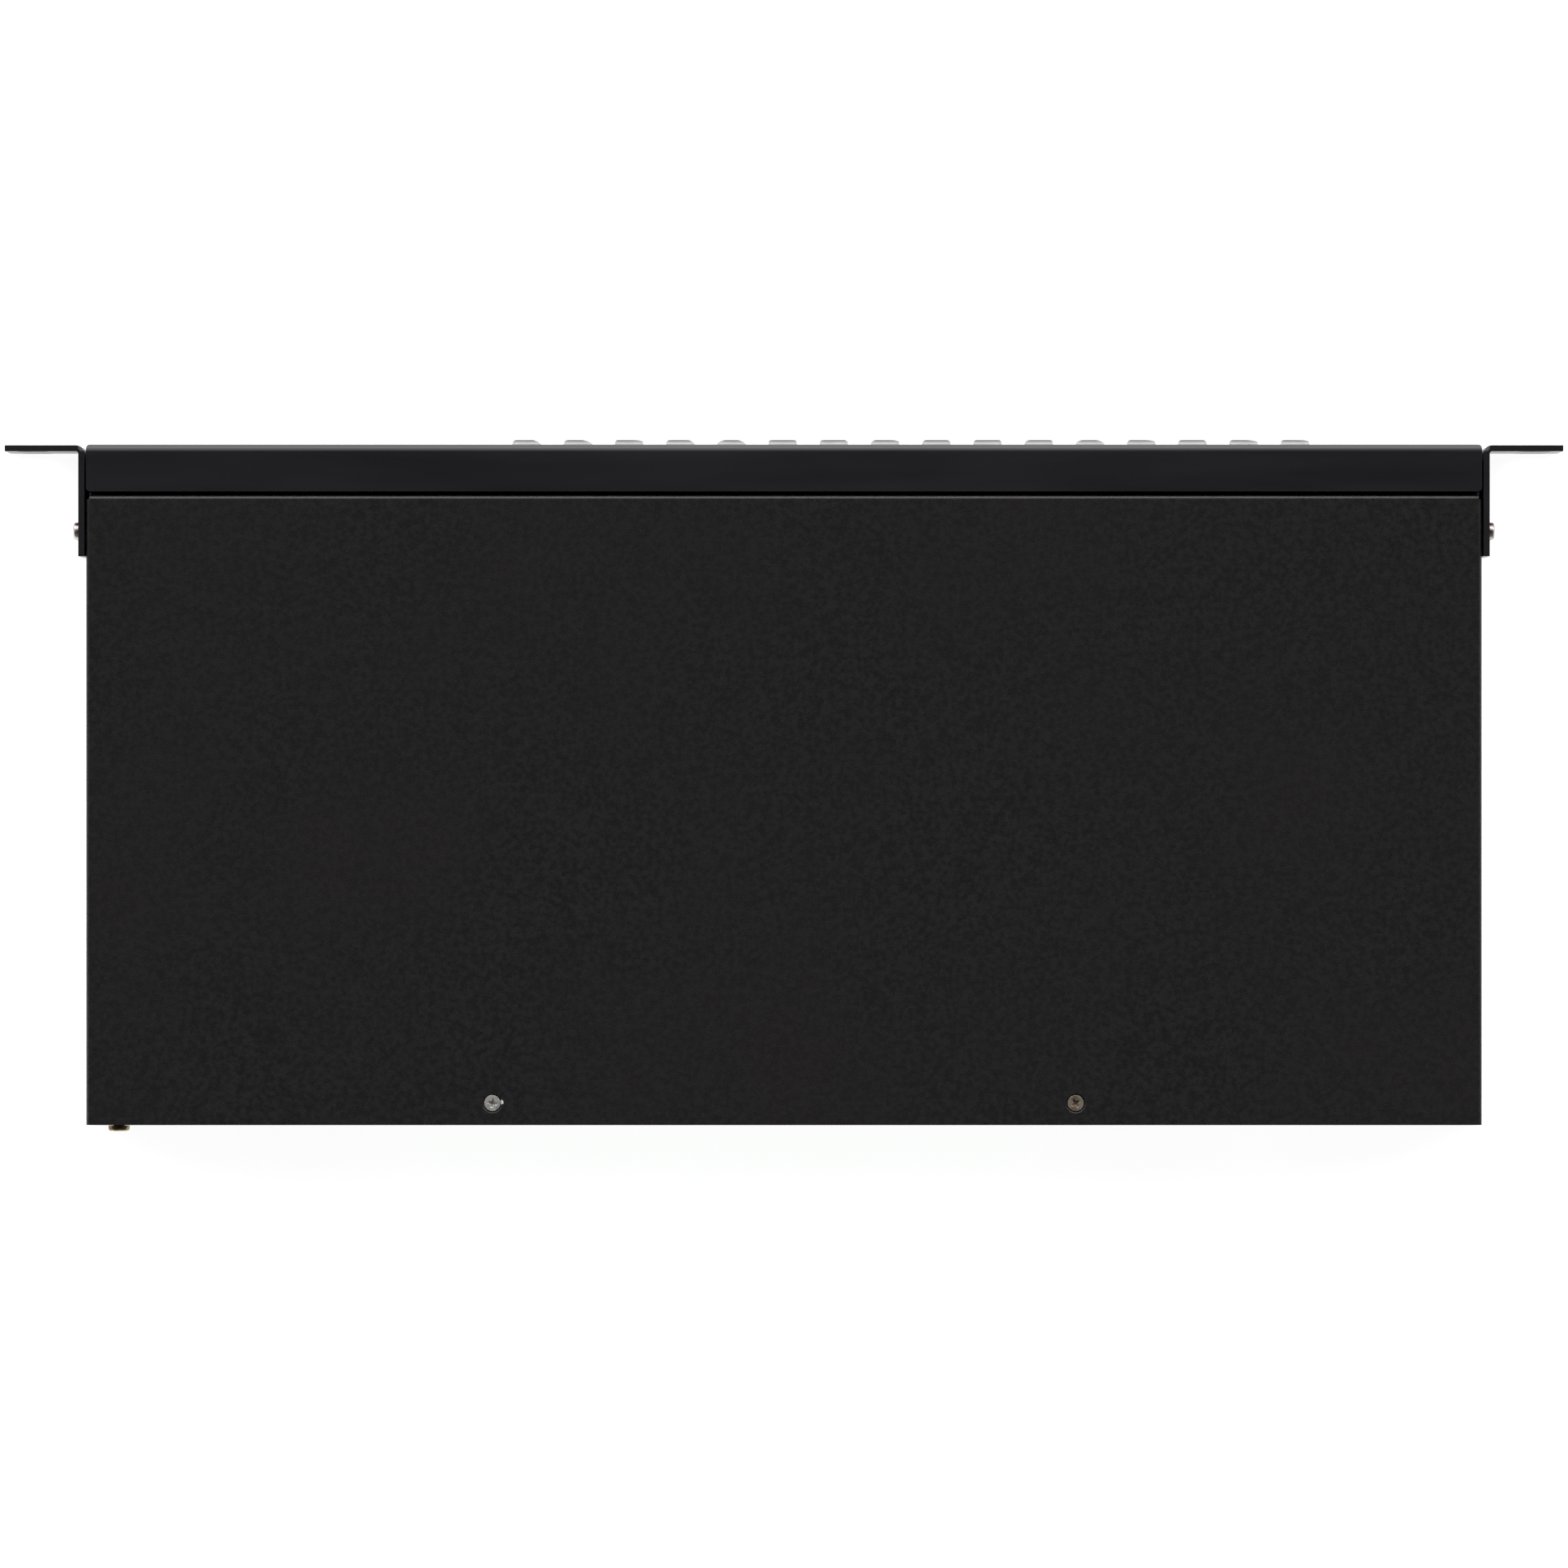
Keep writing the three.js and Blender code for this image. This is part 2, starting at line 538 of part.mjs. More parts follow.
// ---- Key board: the board with its sixteen switch housings ----
function keyBoard() {
  const { front, x: xs, z: zs } = KEY_BOARD;
  const board = box(xs, [front, front + PCB], zs);
  const housing = ([from, to], width) => channels.map((channel) =>
    block(channelX(channel), KEY.z, width, width, [from, to]),
  );
  const housings = housing([SWITCH_FRONT, front + OVERLAP], SWITCH.width);
  const bores = housing([SWITCH_FRONT - CLEAR, SWITCH_FRONT + SWITCH.boreDepth], SWITCH.bore);
  const holes = KEY_BOARD_FIXINGS.map((x) =>
    rod("y", STANDOFF.bore + HOLE_GAP, [front - CLEAR, front + PCB + CLEAR], [x, STANDOFF.z], 8),
  );
  return cut(join([board, ...housings]), [...bores, ...holes]);
}

// ---- Jacks: a moulded strip of several, each with a nose that fills its hole in the panel ----
function jackStrip(jacks) {
  const half = ((jacks - 1) / 2) * PITCH;
  const reach = jacks > 1 ? half + PITCH / 2 - JACK.sideGap : JACK.body / 2;
  const bodyFront = PANEL_SHEET + JACK.wall;
  const middles = count(jacks).map((n) => n * PITCH - half);
  const bottom = PART_Z - JACK.z;
  const body = box([-reach, reach], [bodyFront, bodyFront + JACK.length], [bottom, bottom + JACK.body]);
  const noses = middles.map((x) => rod("y", JACK.nose, [0, bodyFront + OVERLAP], [x, 0]));
  const bores = middles.map((x) => rod("y", JACK.bore, [-CLEAR, JACK.depth], [x, 0]));
  return cut(join([body, ...noses]), bores);
}

function board({ x, y }, fixings) {
  const [under, over] = BOARD_Z;
  return cut(
    box(x, y, BOARD_Z),
    fixings.map((place) => screwHole("z", [under - CLEAR, over + CLEAR], place)),
  );
}

// ---- Main board: its relays and chips stand on it as one soldered assembly ----
function mainBoard() {
  const perRow = CHANNELS / RELAY_ROWS.length;
  const standing = ({ width, depth, height, firstX }, y) =>
    count(perRow).map((n) => {
      const x = firstX + n * CHANNEL_PARTS_PITCH;
      return box([x, x + width], [y, y + depth], [BOARD_Z[1] - OVERLAP, BOARD_Z[1] + height]);
    });
  const relays = RELAY_ROWS.flatMap((y) => standing(RELAY, y));
  return join([board(MAIN_BOARD, MAIN_BOARD_FIXINGS), ...relays, ...standing(CHIP, CHIP_ROW)]);
}

// ---- Double-level header: two rows of poles, each in its own open-fronted cavity facing the back ----
function terminalHeader() {
  const body = box(middle(0, HEADER_WIDTH), [-HEADER.depth, 0], [0, HEADER.height]);
  const cavities = HEADER_LEVELS.map((z) =>
    box(middle(0, HEADER_WIDTH - 2 * HEADER_WALL), [-HEADER.cavityDepth, CLEAR], [z, z + HEADER.cavity]),
  );
  return cut(body, cavities);
}

function dcInlet() {
  const { width, height, depth, bore, boreDepth, rise, pin } = DC_INLET;
  const axis = [0, height / 2 + rise];
  const body = block(0, height / 2, width, height, [-depth, 0]);
  const bored = cut(body, [rod("y", bore, [-boreDepth, CLEAR], axis, 16)]);
  return bored.add(rod("y", pin, [-boreDepth - OVERLAP, -1], axis));
}

function networkPort() {
  const { width, height, depth } = NETWORK;
  const ys = [-NETWORK_CAVITY.depth, CLEAR];
  const [floor, ceiling] = middle(height / 2 + NETWORK_CAVITY.rise, NETWORK_CAVITY.height);
  return cut(block(0, height / 2, width, height, [-depth, 0]), [
    box(middle(0, NETWORK_CAVITY.width), ys, [floor, ceiling]),
    box(middle(0, LATCH.width), ys, [floor - LATCH.drop, floor + OVERLAP]),
  ]);
}

// ---- Ribbon cable between the boards, in a smooth step down from the key board ----
function ribbonCable() {
  const { width, thick, steps } = RIBBON;
  const [startY, endY] = RIBBON_Y;
  const [startZ, endZ] = RIBBON_Z;
  const under = count(steps + 1).map((n) => {
    const t = n / steps;
    const fall = 0.5 + 0.5 * Math.cos(Math.PI * t);
    return new THREE.Vector2(startY + (endY - startY) * t, endZ + (startZ - endZ) * fall);
  });
  const over = under.toReversed().map((point) => new THREE.Vector2(point.x, point.y + thick));
  return prism(new THREE.Shape([...under, ...over]), "x", middle(0, width));
}

function keyBoardSocket() {
  const back = KEY_BOARD.front + PCB + SEAT;
  const z = RIBBON_Z[0] + RIBBON.thick / 2;
  return block(RIBBON.x, z, SOCKET.width, SOCKET.height, [back, RIBBON_Y[0] - SEAT]);
}

function mainBoardSocket() {
  const front = RIBBON_Y[1] + SEAT;
  const zs = [PART_Z, RIBBON_Z[1] + SOCKET.above];
  return box(middle(RIBBON.x, SOCKET.width), [front, front + SOCKET.depth], zs);
}

// ---- Heat sink on the regulator: a base with upright fins ----
function heatSink() {
  const { width, height, base, depth } = HEATSINK;
  const fins = count(FIN.count).map((n) => {
    const x = (n - (FIN.count - 1) / 2) * FIN.pitch;
    return box(middle(x, FIN.thick), middle(0, depth), [0, height]);
  });
  return join([box(middle(0, width), middle(0, base), [0, height]), ...fins]);
}

function capacitor() {
  const { radius, height, edge } = CAPACITOR;
  const profile = [[0, 0], [radius, 0], [radius, height - edge], [radius - edge, height], [0, height]];
  return turned(profile, 18);
}

// ---- Display window, the module behind it and the power light ----
function displayWindow() {
  const { x, z, width, height, recess, flange, flangeThick } = WINDOW;
  const flangeFront = PANEL_BACK + SEAT;
  return join([
    block(x, z, width, height, [FRONT + recess, flangeFront + OVERLAP]),
    block(x, z, width + 2 * flange, height + 2 * flange, [flangeFront, flangeFront + flangeThick]),
  ]);
}

function displayModule() {
  const { x, z, width, height, flangeThick } = WINDOW;
  const front = PANEL_BACK + SEAT + flangeThick + SEAT;
  const [moduleWidth, moduleHeight] = [width + 2 * MODULE_MARGIN, height + 2 * MODULE_MARGIN];
  return block(x, z, moduleWidth, moduleHeight, [front, KEY_BOARD.front - SEAT]);
}

function lightPipe() {
  const { x, z, radius, length, collar, collarThick } = LIGHT;
  const collarFront = PANEL_BACK + SEAT;
  return join([
    rod("y", radius, [FRONT, FRONT + length], [x, z]),
    rod("y", radius + collar, [collarFront, collarFront + collarThick], [x, z]),
  ]);
}

// A toothed lock washer, lying flat about z.
function washer() {
  const { radius, bore, thick, teeth, toothLength, toothWidth } = WASHER;
  const ring = cut(rod("z", radius, [0, thick], [0, 0], 16), [
    rod("z", bore, [-CLEAR, thick + CLEAR], [0, 0], 16),
  ]);
  const fringe = count(teeth).map((n) => {
    const turn = (n * 2 * Math.PI) / teeth;
    const tooth = new THREE.BoxGeometry(toothLength, toothWidth, thick).rotateZ(turn);
    return solid(tooth.translate(radius * Math.cos(turn), radius * Math.sin(turn), thick / 2));
  });
  return join([ring, ...fringe]);
}

// ---- Assembly ----
function enclosure() {
  const group = new THREE.Group();
  add(group, "front_panel", frontPanel(), satinPaint);
  add(group, "chassis_tray", chassisTray(), powderCoat);
  add(group, "top_cover", topCover(), powderCoat);
  sides.forEach(([side, sign]) => {
    add(group, `${side}_rack_ear`, rackEar(sign), satinPaint);
  });
  return group;
}

function fasteners() {
  const group = new THREE.Group();
  const earSeat = EAR.inside + EAR_SHEET + HEAD_GAP;
  sides.forEach(([side, sign]) => {
    const outward = [0, sign * QUARTER, 0];
    for (const [level, z] of Object.entries(EAR_SCREW_ZS)) {
      const place = [sign * earSeat, EAR_SCREW_Y, z];
      add(group, `${side}_ear_screw_${level}`, panScrew(PAN_SCREW), steel, place, outward);
    }
    const place = [sign * COVER_SCREW.x, COVER_SCREW.y, HEIGHT - SUNK];
    add(group, `${side}_cover_screw`, flatScrew(FLAT_SCREW), steel, place);
  });
  PANEL_SCREW.xs.forEach((x, n) => {
    const place = [x, PANEL_SCREW.y, SUNK];
    add(group, `front_panel_screw_${n + 1}`, flatScrew(FLAT_SCREW), steel, place, [Math.PI, 0, 0]);
  });
  const boardScrews = { main: MAIN_BOARD_FIXINGS, jack: JACK_BOARD_FIXINGS };
  for (const [which, places] of Object.entries(boardScrews)) {
    places.forEach(([x, y], n) => {
      const place = [x, y, BOARD_Z[1] + HEAD_GAP];
      add(group, `${which}_board_screw_${n + 1}`, panScrew(BOARD_SCREW), steel, place);
    });
  }
  const washerY = REAR_WALL + SEAT;
  const headY = washerY + WASHER.thick + SEAT;
  const backward = [-QUARTER, 0, 0];
  add(group, "ground_washer", washer(), brass, [GROUND.x, washerY, GROUND.z], backward);
  add(group, "ground_screw", panScrew(GROUND), brass, [GROUND.x, headY, GROUND.z], backward);
  return group;
}

function frontControls() {
  const group = new THREE.Group();
  channels.forEach((channel) => {
    const number = String(channel + 1).padStart(2, "0");
    add(group, `keycap_${number}`, keycap(), silicone, [channelX(channel), FRONT, KEY.z]);
  });
  add(group, "key_board", keyBoard(), boardGreen);
  add(group, "display_window", displayWindow(), windowPlastic);
  add(group, "display_module", displayModule(), blackPlastic);
  add(group, "power_light_pipe", lightPipe(), silicone);
  const stripShift = (JACKS_PER_STRIP / 2) * PITCH;
  sides.forEach(([side, sign]) => {
    const place = [CHANNELS_X + sign * stripShift, FRONT, JACK.z];
    add(group, `${side}_jack_strip`, jackStrip(JACKS_PER_STRIP), blackPlastic, place);
  });
  add(group, "monitor_jack", jackStrip(1), blackPlastic, [MONITOR_X, FRONT, JACK.z]);
  add(group, "jack_board", board(JACK_BOARD, JACK_BOARD_FIXINGS), boardGreen);
  return group;
}

function electronics() {
  const group = new THREE.Group();
  add(group, "main_board", mainBoard(), boardGreen);
  HEADER_XS.forEach((x, n) => {
    add(group, `terminal_header_${n + 1}`, terminalHeader(), greenPlastic, [x, REAR_WALL, PART_Z]);
  });
  add(group, "dc_inlet", dcInlet(), blackPlastic, [DC_INLET.x, REAR_WALL, PART_Z]);
  add(group, "network_port", networkPort(), steel, [NETWORK.x, REAR_WALL, PART_Z]);
  add(group, "ribbon_cable", ribbonCable(), ribbonGrey, [RIBBON.x, 0, 0]);
  add(group, "key_board_socket", keyBoardSocket(), blackPlastic);
  add(group, "main_board_socket", mainBoardSocket(), blackPlastic);
  add(group, "regulator_heatsink", heatSink(), aluminium, [HEATSINK.x, HEATSINK.y, PART_Z]);
  CAPACITOR.xs.forEach((x, n) => {
    add(group, `reservoir_capacitor_${n + 1}`, capacitor(), blackPlastic, [x, CAPACITOR.y, PART_Z]);
  });
  return group;
}

const patchBay = new THREE.Group();
patchBay.add(enclosure(), fasteners(), frontControls(), electronics());

export default patchBay;
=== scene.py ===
"""The looks of a one-unit rack-mount audio patch bay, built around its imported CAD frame.

Everything is in metres in the CAD frame: +X to the right of someone facing the front, +Y to the back, +Z up.
"""

import math

import bmesh
import bpy
from mathutils import Matrix, Vector


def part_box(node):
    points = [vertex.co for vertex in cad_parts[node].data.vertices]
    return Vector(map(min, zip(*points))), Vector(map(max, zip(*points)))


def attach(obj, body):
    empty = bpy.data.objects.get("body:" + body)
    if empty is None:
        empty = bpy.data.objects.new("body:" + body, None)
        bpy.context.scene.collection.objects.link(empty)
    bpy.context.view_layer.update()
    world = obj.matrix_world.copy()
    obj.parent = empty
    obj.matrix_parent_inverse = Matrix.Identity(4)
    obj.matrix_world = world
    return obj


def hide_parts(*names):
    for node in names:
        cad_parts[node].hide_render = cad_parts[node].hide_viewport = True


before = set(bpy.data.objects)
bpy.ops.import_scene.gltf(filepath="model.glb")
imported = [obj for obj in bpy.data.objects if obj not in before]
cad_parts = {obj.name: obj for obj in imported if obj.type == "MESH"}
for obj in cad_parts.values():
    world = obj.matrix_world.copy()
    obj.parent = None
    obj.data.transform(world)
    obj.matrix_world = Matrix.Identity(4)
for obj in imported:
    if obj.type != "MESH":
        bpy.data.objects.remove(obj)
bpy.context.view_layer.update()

MM = 0.001
CHASSIS = "chassis"
KEYS = [f"keycap_{n:02d}" for n in range(1, 17)]
SIDES = {"left": -1, "right": 1}

panel_low, panel_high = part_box("front_panel")
cover_low, cover_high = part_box("top_cover")
tray_low, tray_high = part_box("chassis_tray")
FRONT = panel_low.y
REAR_WALL = tray_high.y
TOP = cover_high.z


def middle(node):
    low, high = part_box(node)
    return (low + high) / 2


# ---- Camera: straight down on the closed unit, with the front edge at the top of the picture ----
CAMERA_HEIGHT = 6.0
VIEW_WIDTH = 0.4854
SENSOR = 36.0


def make_camera():
    data = bpy.data.cameras.new("camera")
    data.sensor_width = SENSOR
    data.lens = SENSOR * (CAMERA_HEIGHT - TOP) / VIEW_WIDTH
    data.clip_start, data.clip_end = 0.1, 100.0
    camera = bpy.data.objects.new("camera", data)
    camera.location = (0.0, (panel_low.y + cover_high.y) / 2 - 0.2 * MM, CAMERA_HEIGHT)
    camera.rotation_euler = (0.0, 0.0, math.pi)
    bpy.context.scene.collection.objects.link(camera)
    bpy.context.scene.camera = camera


make_camera()


# ---- Node materials ----
class Look:
    """A node material under construction: patterns in metres, drawn from each piece's own coordinates."""

    def __init__(self, name, colour, **sockets):
        self.material = bpy.data.materials.new(name)
        self.material.use_nodes = True
        self.material.diffuse_color = (*colour, 1.0)
        self.tree = self.material.node_tree
        self.shader = self.tree.nodes["Principled BSDF"]
        self.shader.inputs["Base Color"].default_value = (*colour, 1.0)
        for socket, value in sockets.items():
            self.shader.inputs[socket.replace("_", " ")].default_value = value
        self.place = self.node("ShaderNodeTexCoord").outputs["Object"]

    def node(self, kind, **settings):
        made = self.tree.nodes.new(kind)
        for setting, value in settings.items():
            setattr(made, setting, value)
        return made

    def feed(self, socket, value):
        if hasattr(value, "is_output"):
            self.tree.links.new(value, socket)
        else:
            socket.default_value = value

    def stretched(self, x, y, z):
        made = self.node("ShaderNodeMapping")
        self.feed(made.inputs["Vector"], self.place)
        made.inputs["Scale"].default_value = (x, y, z)
        return made.outputs["Vector"]

    def noise(self, grain, detail=2.0, place=None):
        """Noise whose features are about grain metres across."""
        made = self.node("ShaderNodeTexNoise")
        self.feed(made.inputs["Vector"], place or self.place)
        made.inputs["Scale"].default_value = 1.0 / grain
        made.inputs["Detail"].default_value = detail
        return made.outputs[0]

    def remap(self, value, low, high, to_low=0.0, to_high=1.0):
        made = self.node("ShaderNodeMapRange")
        for socket, given in zip(made.inputs, (value, low, high, to_low, to_high)):
            self.feed(socket, given)
        return made.outputs["Result"]

    def maths(self, operation, first, second=0.0):
        made = self.node("ShaderNodeMath", operation=operation)
        self.feed(made.inputs[0], first)
        self.feed(made.inputs[1], second)
        return made.outputs[0]

    def axis(self, letter):
        made = self.node("ShaderNodeSeparateXYZ")
        self.feed(made.inputs[0], self.place)
        return made.outputs[letter]

    def distance_to(self, point):
        made = self.node("ShaderNodeVectorMath", operation="DISTANCE")
        self.feed(made.inputs[0], self.place)
        made.inputs[1].default_value = point
        return made.outputs["Value"]

    def blend(self, factor, first, second):
        made = self.node("ShaderNodeMix", data_type="RGBA")
        self.feed(made.inputs[0], factor)
        for socket, colour in ((made.inputs[6], first), (made.inputs[7], second)):
            self.feed(socket, (*colour, 1.0) if isinstance(colour, tuple) else colour)
        return made.outputs[2]

    def set(self, socket, value):
        self.feed(self.shader.inputs[socket], value)

    def bump(self, *layers):
        """Layers of (height from 0 to 1, depth in metres), finest last."""
        normal = None
        for height, depth in layers:
            made = self.node("ShaderNodeBump")
            made.inputs["Strength"].default_value = 1.0
            made.inputs["Distance"].default_value = depth
            self.feed(made.inputs["Height"], height)
            if normal is not None:
                self.feed(made.inputs["Normal"], normal)
            normal = made.outputs["Normal"]
        self.set("Normal", normal)


def powder_coat(name="powder_coat", pale_spot=None):
    """Fine-textured black powder coat; the optional point gets a small near-white patch with a ragged edge.
    """
    look = Look(name, (0.0143, 0.0141, 0.0142), IOR=1.5)
    grain = look.noise(0.45 * MM, 3.0)
    peel = look.noise(1.7 * MM, 2.0)
    patches = look.noise(60 * MM, 2.0)
    mottled = look.blend(look.remap(peel, 0.35, 0.65), (0.0094, 0.0092, 0.0093), (0.0192, 0.0189, 0.0190))
    colour = look.blend(look.remap(patches, 0.3, 0.7, 0.0, 0.5), mottled, (0.0180, 0.0150, 0.0165))
    roughness = look.remap(grain, 0.3, 0.7, 0.29, 0.38)
    if pale_spot:
        roughened = look.remap(grain, 0.0, 1.0, -0.35 * MM, 0.35 * MM)
        ragged = look.maths("ADD", look.distance_to(pale_spot), roughened)
        # A small near-white patch with a ragged edge round the point.
        pale_patch = look.remap(ragged, 0.72 * MM, 0.6 * MM)
        colour = look.blend(pale_patch, colour, (0.85, 0.84, 0.82))
    look.set("Base Color", colour)
    look.set("Roughness", roughness)
    look.bump((peel, 0.02 * MM), (grain, 0.035 * MM))
    return look.material


def satin_paint(name="satin_paint", glint_point=None):
    """Satin black paint with slight orange peel; the optional point is where a glint on a bend is painted as
    a light-grey patch.
    """
    look = Look(name, (0.0150, 0.0148, 0.0168), IOR=1.5)
    peel = look.noise(1.2 * MM, 2.0)
    wipe = look.noise(9 * MM, 3.0, look.stretched(0.12, 1.0, 1.0))
    colour = look.blend(look.remap(wipe, 0.35, 0.7), (0.0133, 0.0130, 0.0150), (0.0172, 0.0168, 0.0190))
    if glint_point:
        # Painted highlight: a light-grey patch round the point stands in for a glint on the bend's top edge.
        painted_glint = look.remap(look.distance_to(glint_point), 1.3 * MM, 0.7 * MM)
        colour = look.blend(painted_glint, colour, (0.15, 0.15, 0.155))
    look.set("Base Color", colour)
    look.set("Roughness", look.remap(wipe, 0.3, 0.7, 0.27, 0.33))
    look.bump((peel, 0.008 * MM))
    return look.material


def plated(name, bright, dull, roughness, tarnish=0.5, metallic=1.0):
    """Plated or bare metal: turned lines, faint scratches and dull patches."""
    look = Look(name, bright, Metallic=metallic)
    patches = look.noise(1.6 * MM, 4.0)
    scratches = look.noise(0.25 * MM, 2.0, look.stretched(1.0, 0.15, 1.0))
    dulled = look.remap(patches, 0.62 - 0.3 * tarnish, 0.8 - 0.2 * tarnish)
    look.set("Base Color", look.blend(dulled, bright, dull))
    look.set("Roughness", look.remap(patches, 0.3, 0.7, roughness, roughness + 0.16))
    look.bump((scratches, 0.006 * MM))
    return look.material


def key_plastic():
    """Frosted translucent plastic, with painted shade greying the top and bottom of the keys' front rims."""
    look = Look(
        "key_plastic", (0.7, 0.7, 0.695), Subsurface_Weight=0.1, Subsurface_Scale=0.6 * MM,
        IOR=1.49, Specular_IOR_Level=0.3,
    )
    frost = look.noise(0.3 * MM, 2.0)
    clouds = look.noise(3.5 * MM, 2.0)
    near_front = look.remap(look.axis("Y"), KEY_FACE + 1.1 * MM, KEY_FACE + 0.3 * MM)
    height = look.maths("ABSOLUTE", look.maths("SUBTRACT", look.axis("Z"), KEY_MIDDLE))
    # Painted shade: the front rim's top and bottom edges are greyed where the rounded caps turn away from the
    # light.
    rim_shade = look.maths("MULTIPLY", near_front, look.remap(height, 3.5 * MM, 4.1 * MM))
    colour = look.blend(look.remap(clouds, 0.3, 0.7), (0.66, 0.66, 0.655), (0.74, 0.74, 0.735))
    look.set("Base Color", look.blend(rim_shade, colour, (0.2, 0.2, 0.2)))
    look.set("Roughness", look.remap(frost, 0.3, 0.7, 0.34, 0.5))
    look.bump((frost, 0.006 * MM))
    return look.material


def moulded(name, dark, light, low_roughness=0.42, high_roughness=0.6):
    """Spark-textured moulded plastic."""
    look = Look(name, dark, IOR=1.5)
    spark = look.noise(0.2 * MM, 3.0)
    flow = look.noise(6 * MM, 3.0, look.stretched(1.0, 1.0, 0.4))
    look.set("Base Color", look.blend(look.remap(flow, 0.3, 0.7), dark, light))
    look.set("Roughness", look.remap(spark, 0.3, 0.7, low_roughness, high_roughness))
    look.bump((spark, 0.012 * MM))
    return look.material


def printed_ink():
    look = Look("printed_ink", (0.62, 0.63, 0.62), Roughness=0.55)
    speckle = look.noise(0.12 * MM, 2.0)
    thin_spots = look.remap(speckle, 0.45, 0.75)
    look.set("Base Color", look.blend(thin_spots, (0.66, 0.67, 0.66), (0.45, 0.46, 0.46)))
    look.bump((speckle, 0.004 * MM))
    return look.material


def smoked_window():
    """Polished smoked acrylic over a grid of unlit display dots."""
    look = Look("smoked_window", (0.004, 0.004, 0.005), IOR=1.49, Coat_Weight=0.4, Coat_Roughness=0.03)
    dot = 0.55 * MM
    scaled = look.stretched(1.0 / dot, 1.0, 1.0 / dot)
    split = look.node("ShaderNodeSeparateXYZ")
    look.feed(split.inputs[0], scaled)
    waves = [look.maths("FRACT", split.outputs[letter]) for letter in ("X", "Z")]
    lit = [look.remap(look.maths("ABSOLUTE", look.maths("SUBTRACT", w, 0.5)), 0.36, 0.3) for w in waves]
    dots = look.maths("MULTIPLY", *lit)
    smudge = look.noise(14 * MM, 4.0)
    look.set("Base Color", look.blend(dots, (0.0035, 0.0035, 0.0045), (0.011, 0.0095, 0.008)))
    look.set("Roughness", look.remap(smudge, 0.35, 0.75, 0.05, 0.14))
    return look.material


def circuit_board(part_foot):
    """Green solder mask with buried tracks; above part_foot is the soldered parts' black plastic."""
    look = Look("circuit_board", (0.01, 0.075, 0.028), IOR=1.5)
    tracks = look.node("ShaderNodeTexBrick", offset=0.37, squash=0.6)
    look.feed(tracks.inputs["Vector"], look.stretched(1.0, 1.0, 1.0))
    for socket, value in (("Scale", 260.0), ("Mortar Size", 0.09), ("Mortar Smooth", 0.15)):
        tracks.inputs[socket].default_value = value
    shades = (("Color1", (0.0, 0.0, 0.0, 1)), ("Color2", (0.15, 0.15, 0.15, 1)), ("Mortar", (1, 1, 1, 1)))
    for socket, colour in shades:
        tracks.inputs[socket].default_value = colour
    weave = look.noise(0.5 * MM, 2.0)
    track = look.remap(tracks.outputs["Color"], 0.2, 0.9)
    green = look.blend(track, (0.008, 0.06, 0.022), (0.018, 0.12, 0.045))
    raised = look.remap(look.axis("Z"), part_foot, part_foot + 0.1 * MM)
    look.set("Base Color", look.blend(raised, green, (0.012, 0.012, 0.013)))
    look.set("Roughness", look.remap(weave, 0.3, 0.7, 0.3, 0.42))
    look.bump((track, 0.02 * MM), (weave, 0.006 * MM))
    return look.material


def ribbed(name, dark, light, pitch, letter):
    """Colour bands along one axis, such as a ribbon cable's cores, darkened in the grooves between the ribs
    as painted shade.
    """
    look = Look(name, dark)
    wave = look.maths("SINE", look.maths("MULTIPLY", look.axis(letter), 2 * math.pi / pitch))
    grime = look.noise(2 * MM, 2.0)
    # Painted shade: the colour is darkest where the bump's wave is lowest, in the grooves.
    look.set("Base Color", look.blend(look.remap(wave, -1.0, 0.2), dark, light))
    look.set("Roughness", look.remap(grime, 0.3, 0.7, 0.45, 0.62))
    look.bump((look.remap(wave, -1.0, 1.0), 0.15 * MM))
    return look.material


KEY_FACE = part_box(KEYS[0])[0].y
KEY_MIDDLE = middle(KEYS[0]).z
BOARD_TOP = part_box("jack_board")[1].z
right_screw = middle("right_cover_screw")
# A small near-white patch on the cover, at the rim of the right cover screw's dimple.
PALE_SPOT = (right_screw.x - 2.75 * MM, right_screw.y - 0.3 * MM, TOP)
COVER_COAT = powder_coat("cover_coat", PALE_SPOT)
POWDER_COAT = powder_coat()
SATIN = satin_paint()


def worn_bend(side):
    """The middle of an ear's bend, at its top edge, where a glint is painted."""
    low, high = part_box(f"{side}_rack_ear")
    inner_x = low.x if side == "right" else high.x
    return (inner_x + SIDES[side] * 0.75 * MM, low.y + 0.75 * MM, high.z)


NICKEL = plated("nickel", (0.56, 0.50, 0.47), (0.3, 0.26, 0.23), 0.24)
WORN_NICKEL = plated("worn_nickel", (0.62, 0.61, 0.58), (0.34, 0.32, 0.29), 0.3, 0.5, 0.55)
OLD_NICKEL = plated("old_nickel", (0.40, 0.34, 0.27), (0.17, 0.12, 0.08), 0.34, 0.8, 0.6)
BRASS = plated("brass", (0.36, 0.27, 0.13), (0.1, 0.07, 0.03), 0.24, 0.9)
PALE_BRASS = plated("pale_brass", (0.8, 0.72, 0.56), (0.55, 0.45, 0.3), 0.2, 0.3)
GOLD = plated("gold_contacts", (0.83, 0.62, 0.25), (0.6, 0.42, 0.16), 0.18, 0.3)
TIN = plated("tin", (0.6, 0.6, 0.59), (0.38, 0.38, 0.38), 0.26)
ALUMINIUM = ribbed("aluminium", (0.3, 0.3, 0.31), (0.4, 0.4, 0.41), 0.5 * MM, "Z")
ALUMINIUM.node_tree.nodes["Principled BSDF"].inputs["Metallic"].default_value = 1.0
KEY_PLASTIC = key_plastic()
BLACK_PLASTIC = moulded("black_plastic", (0.010, 0.010, 0.011), (0.014, 0.014, 0.015))
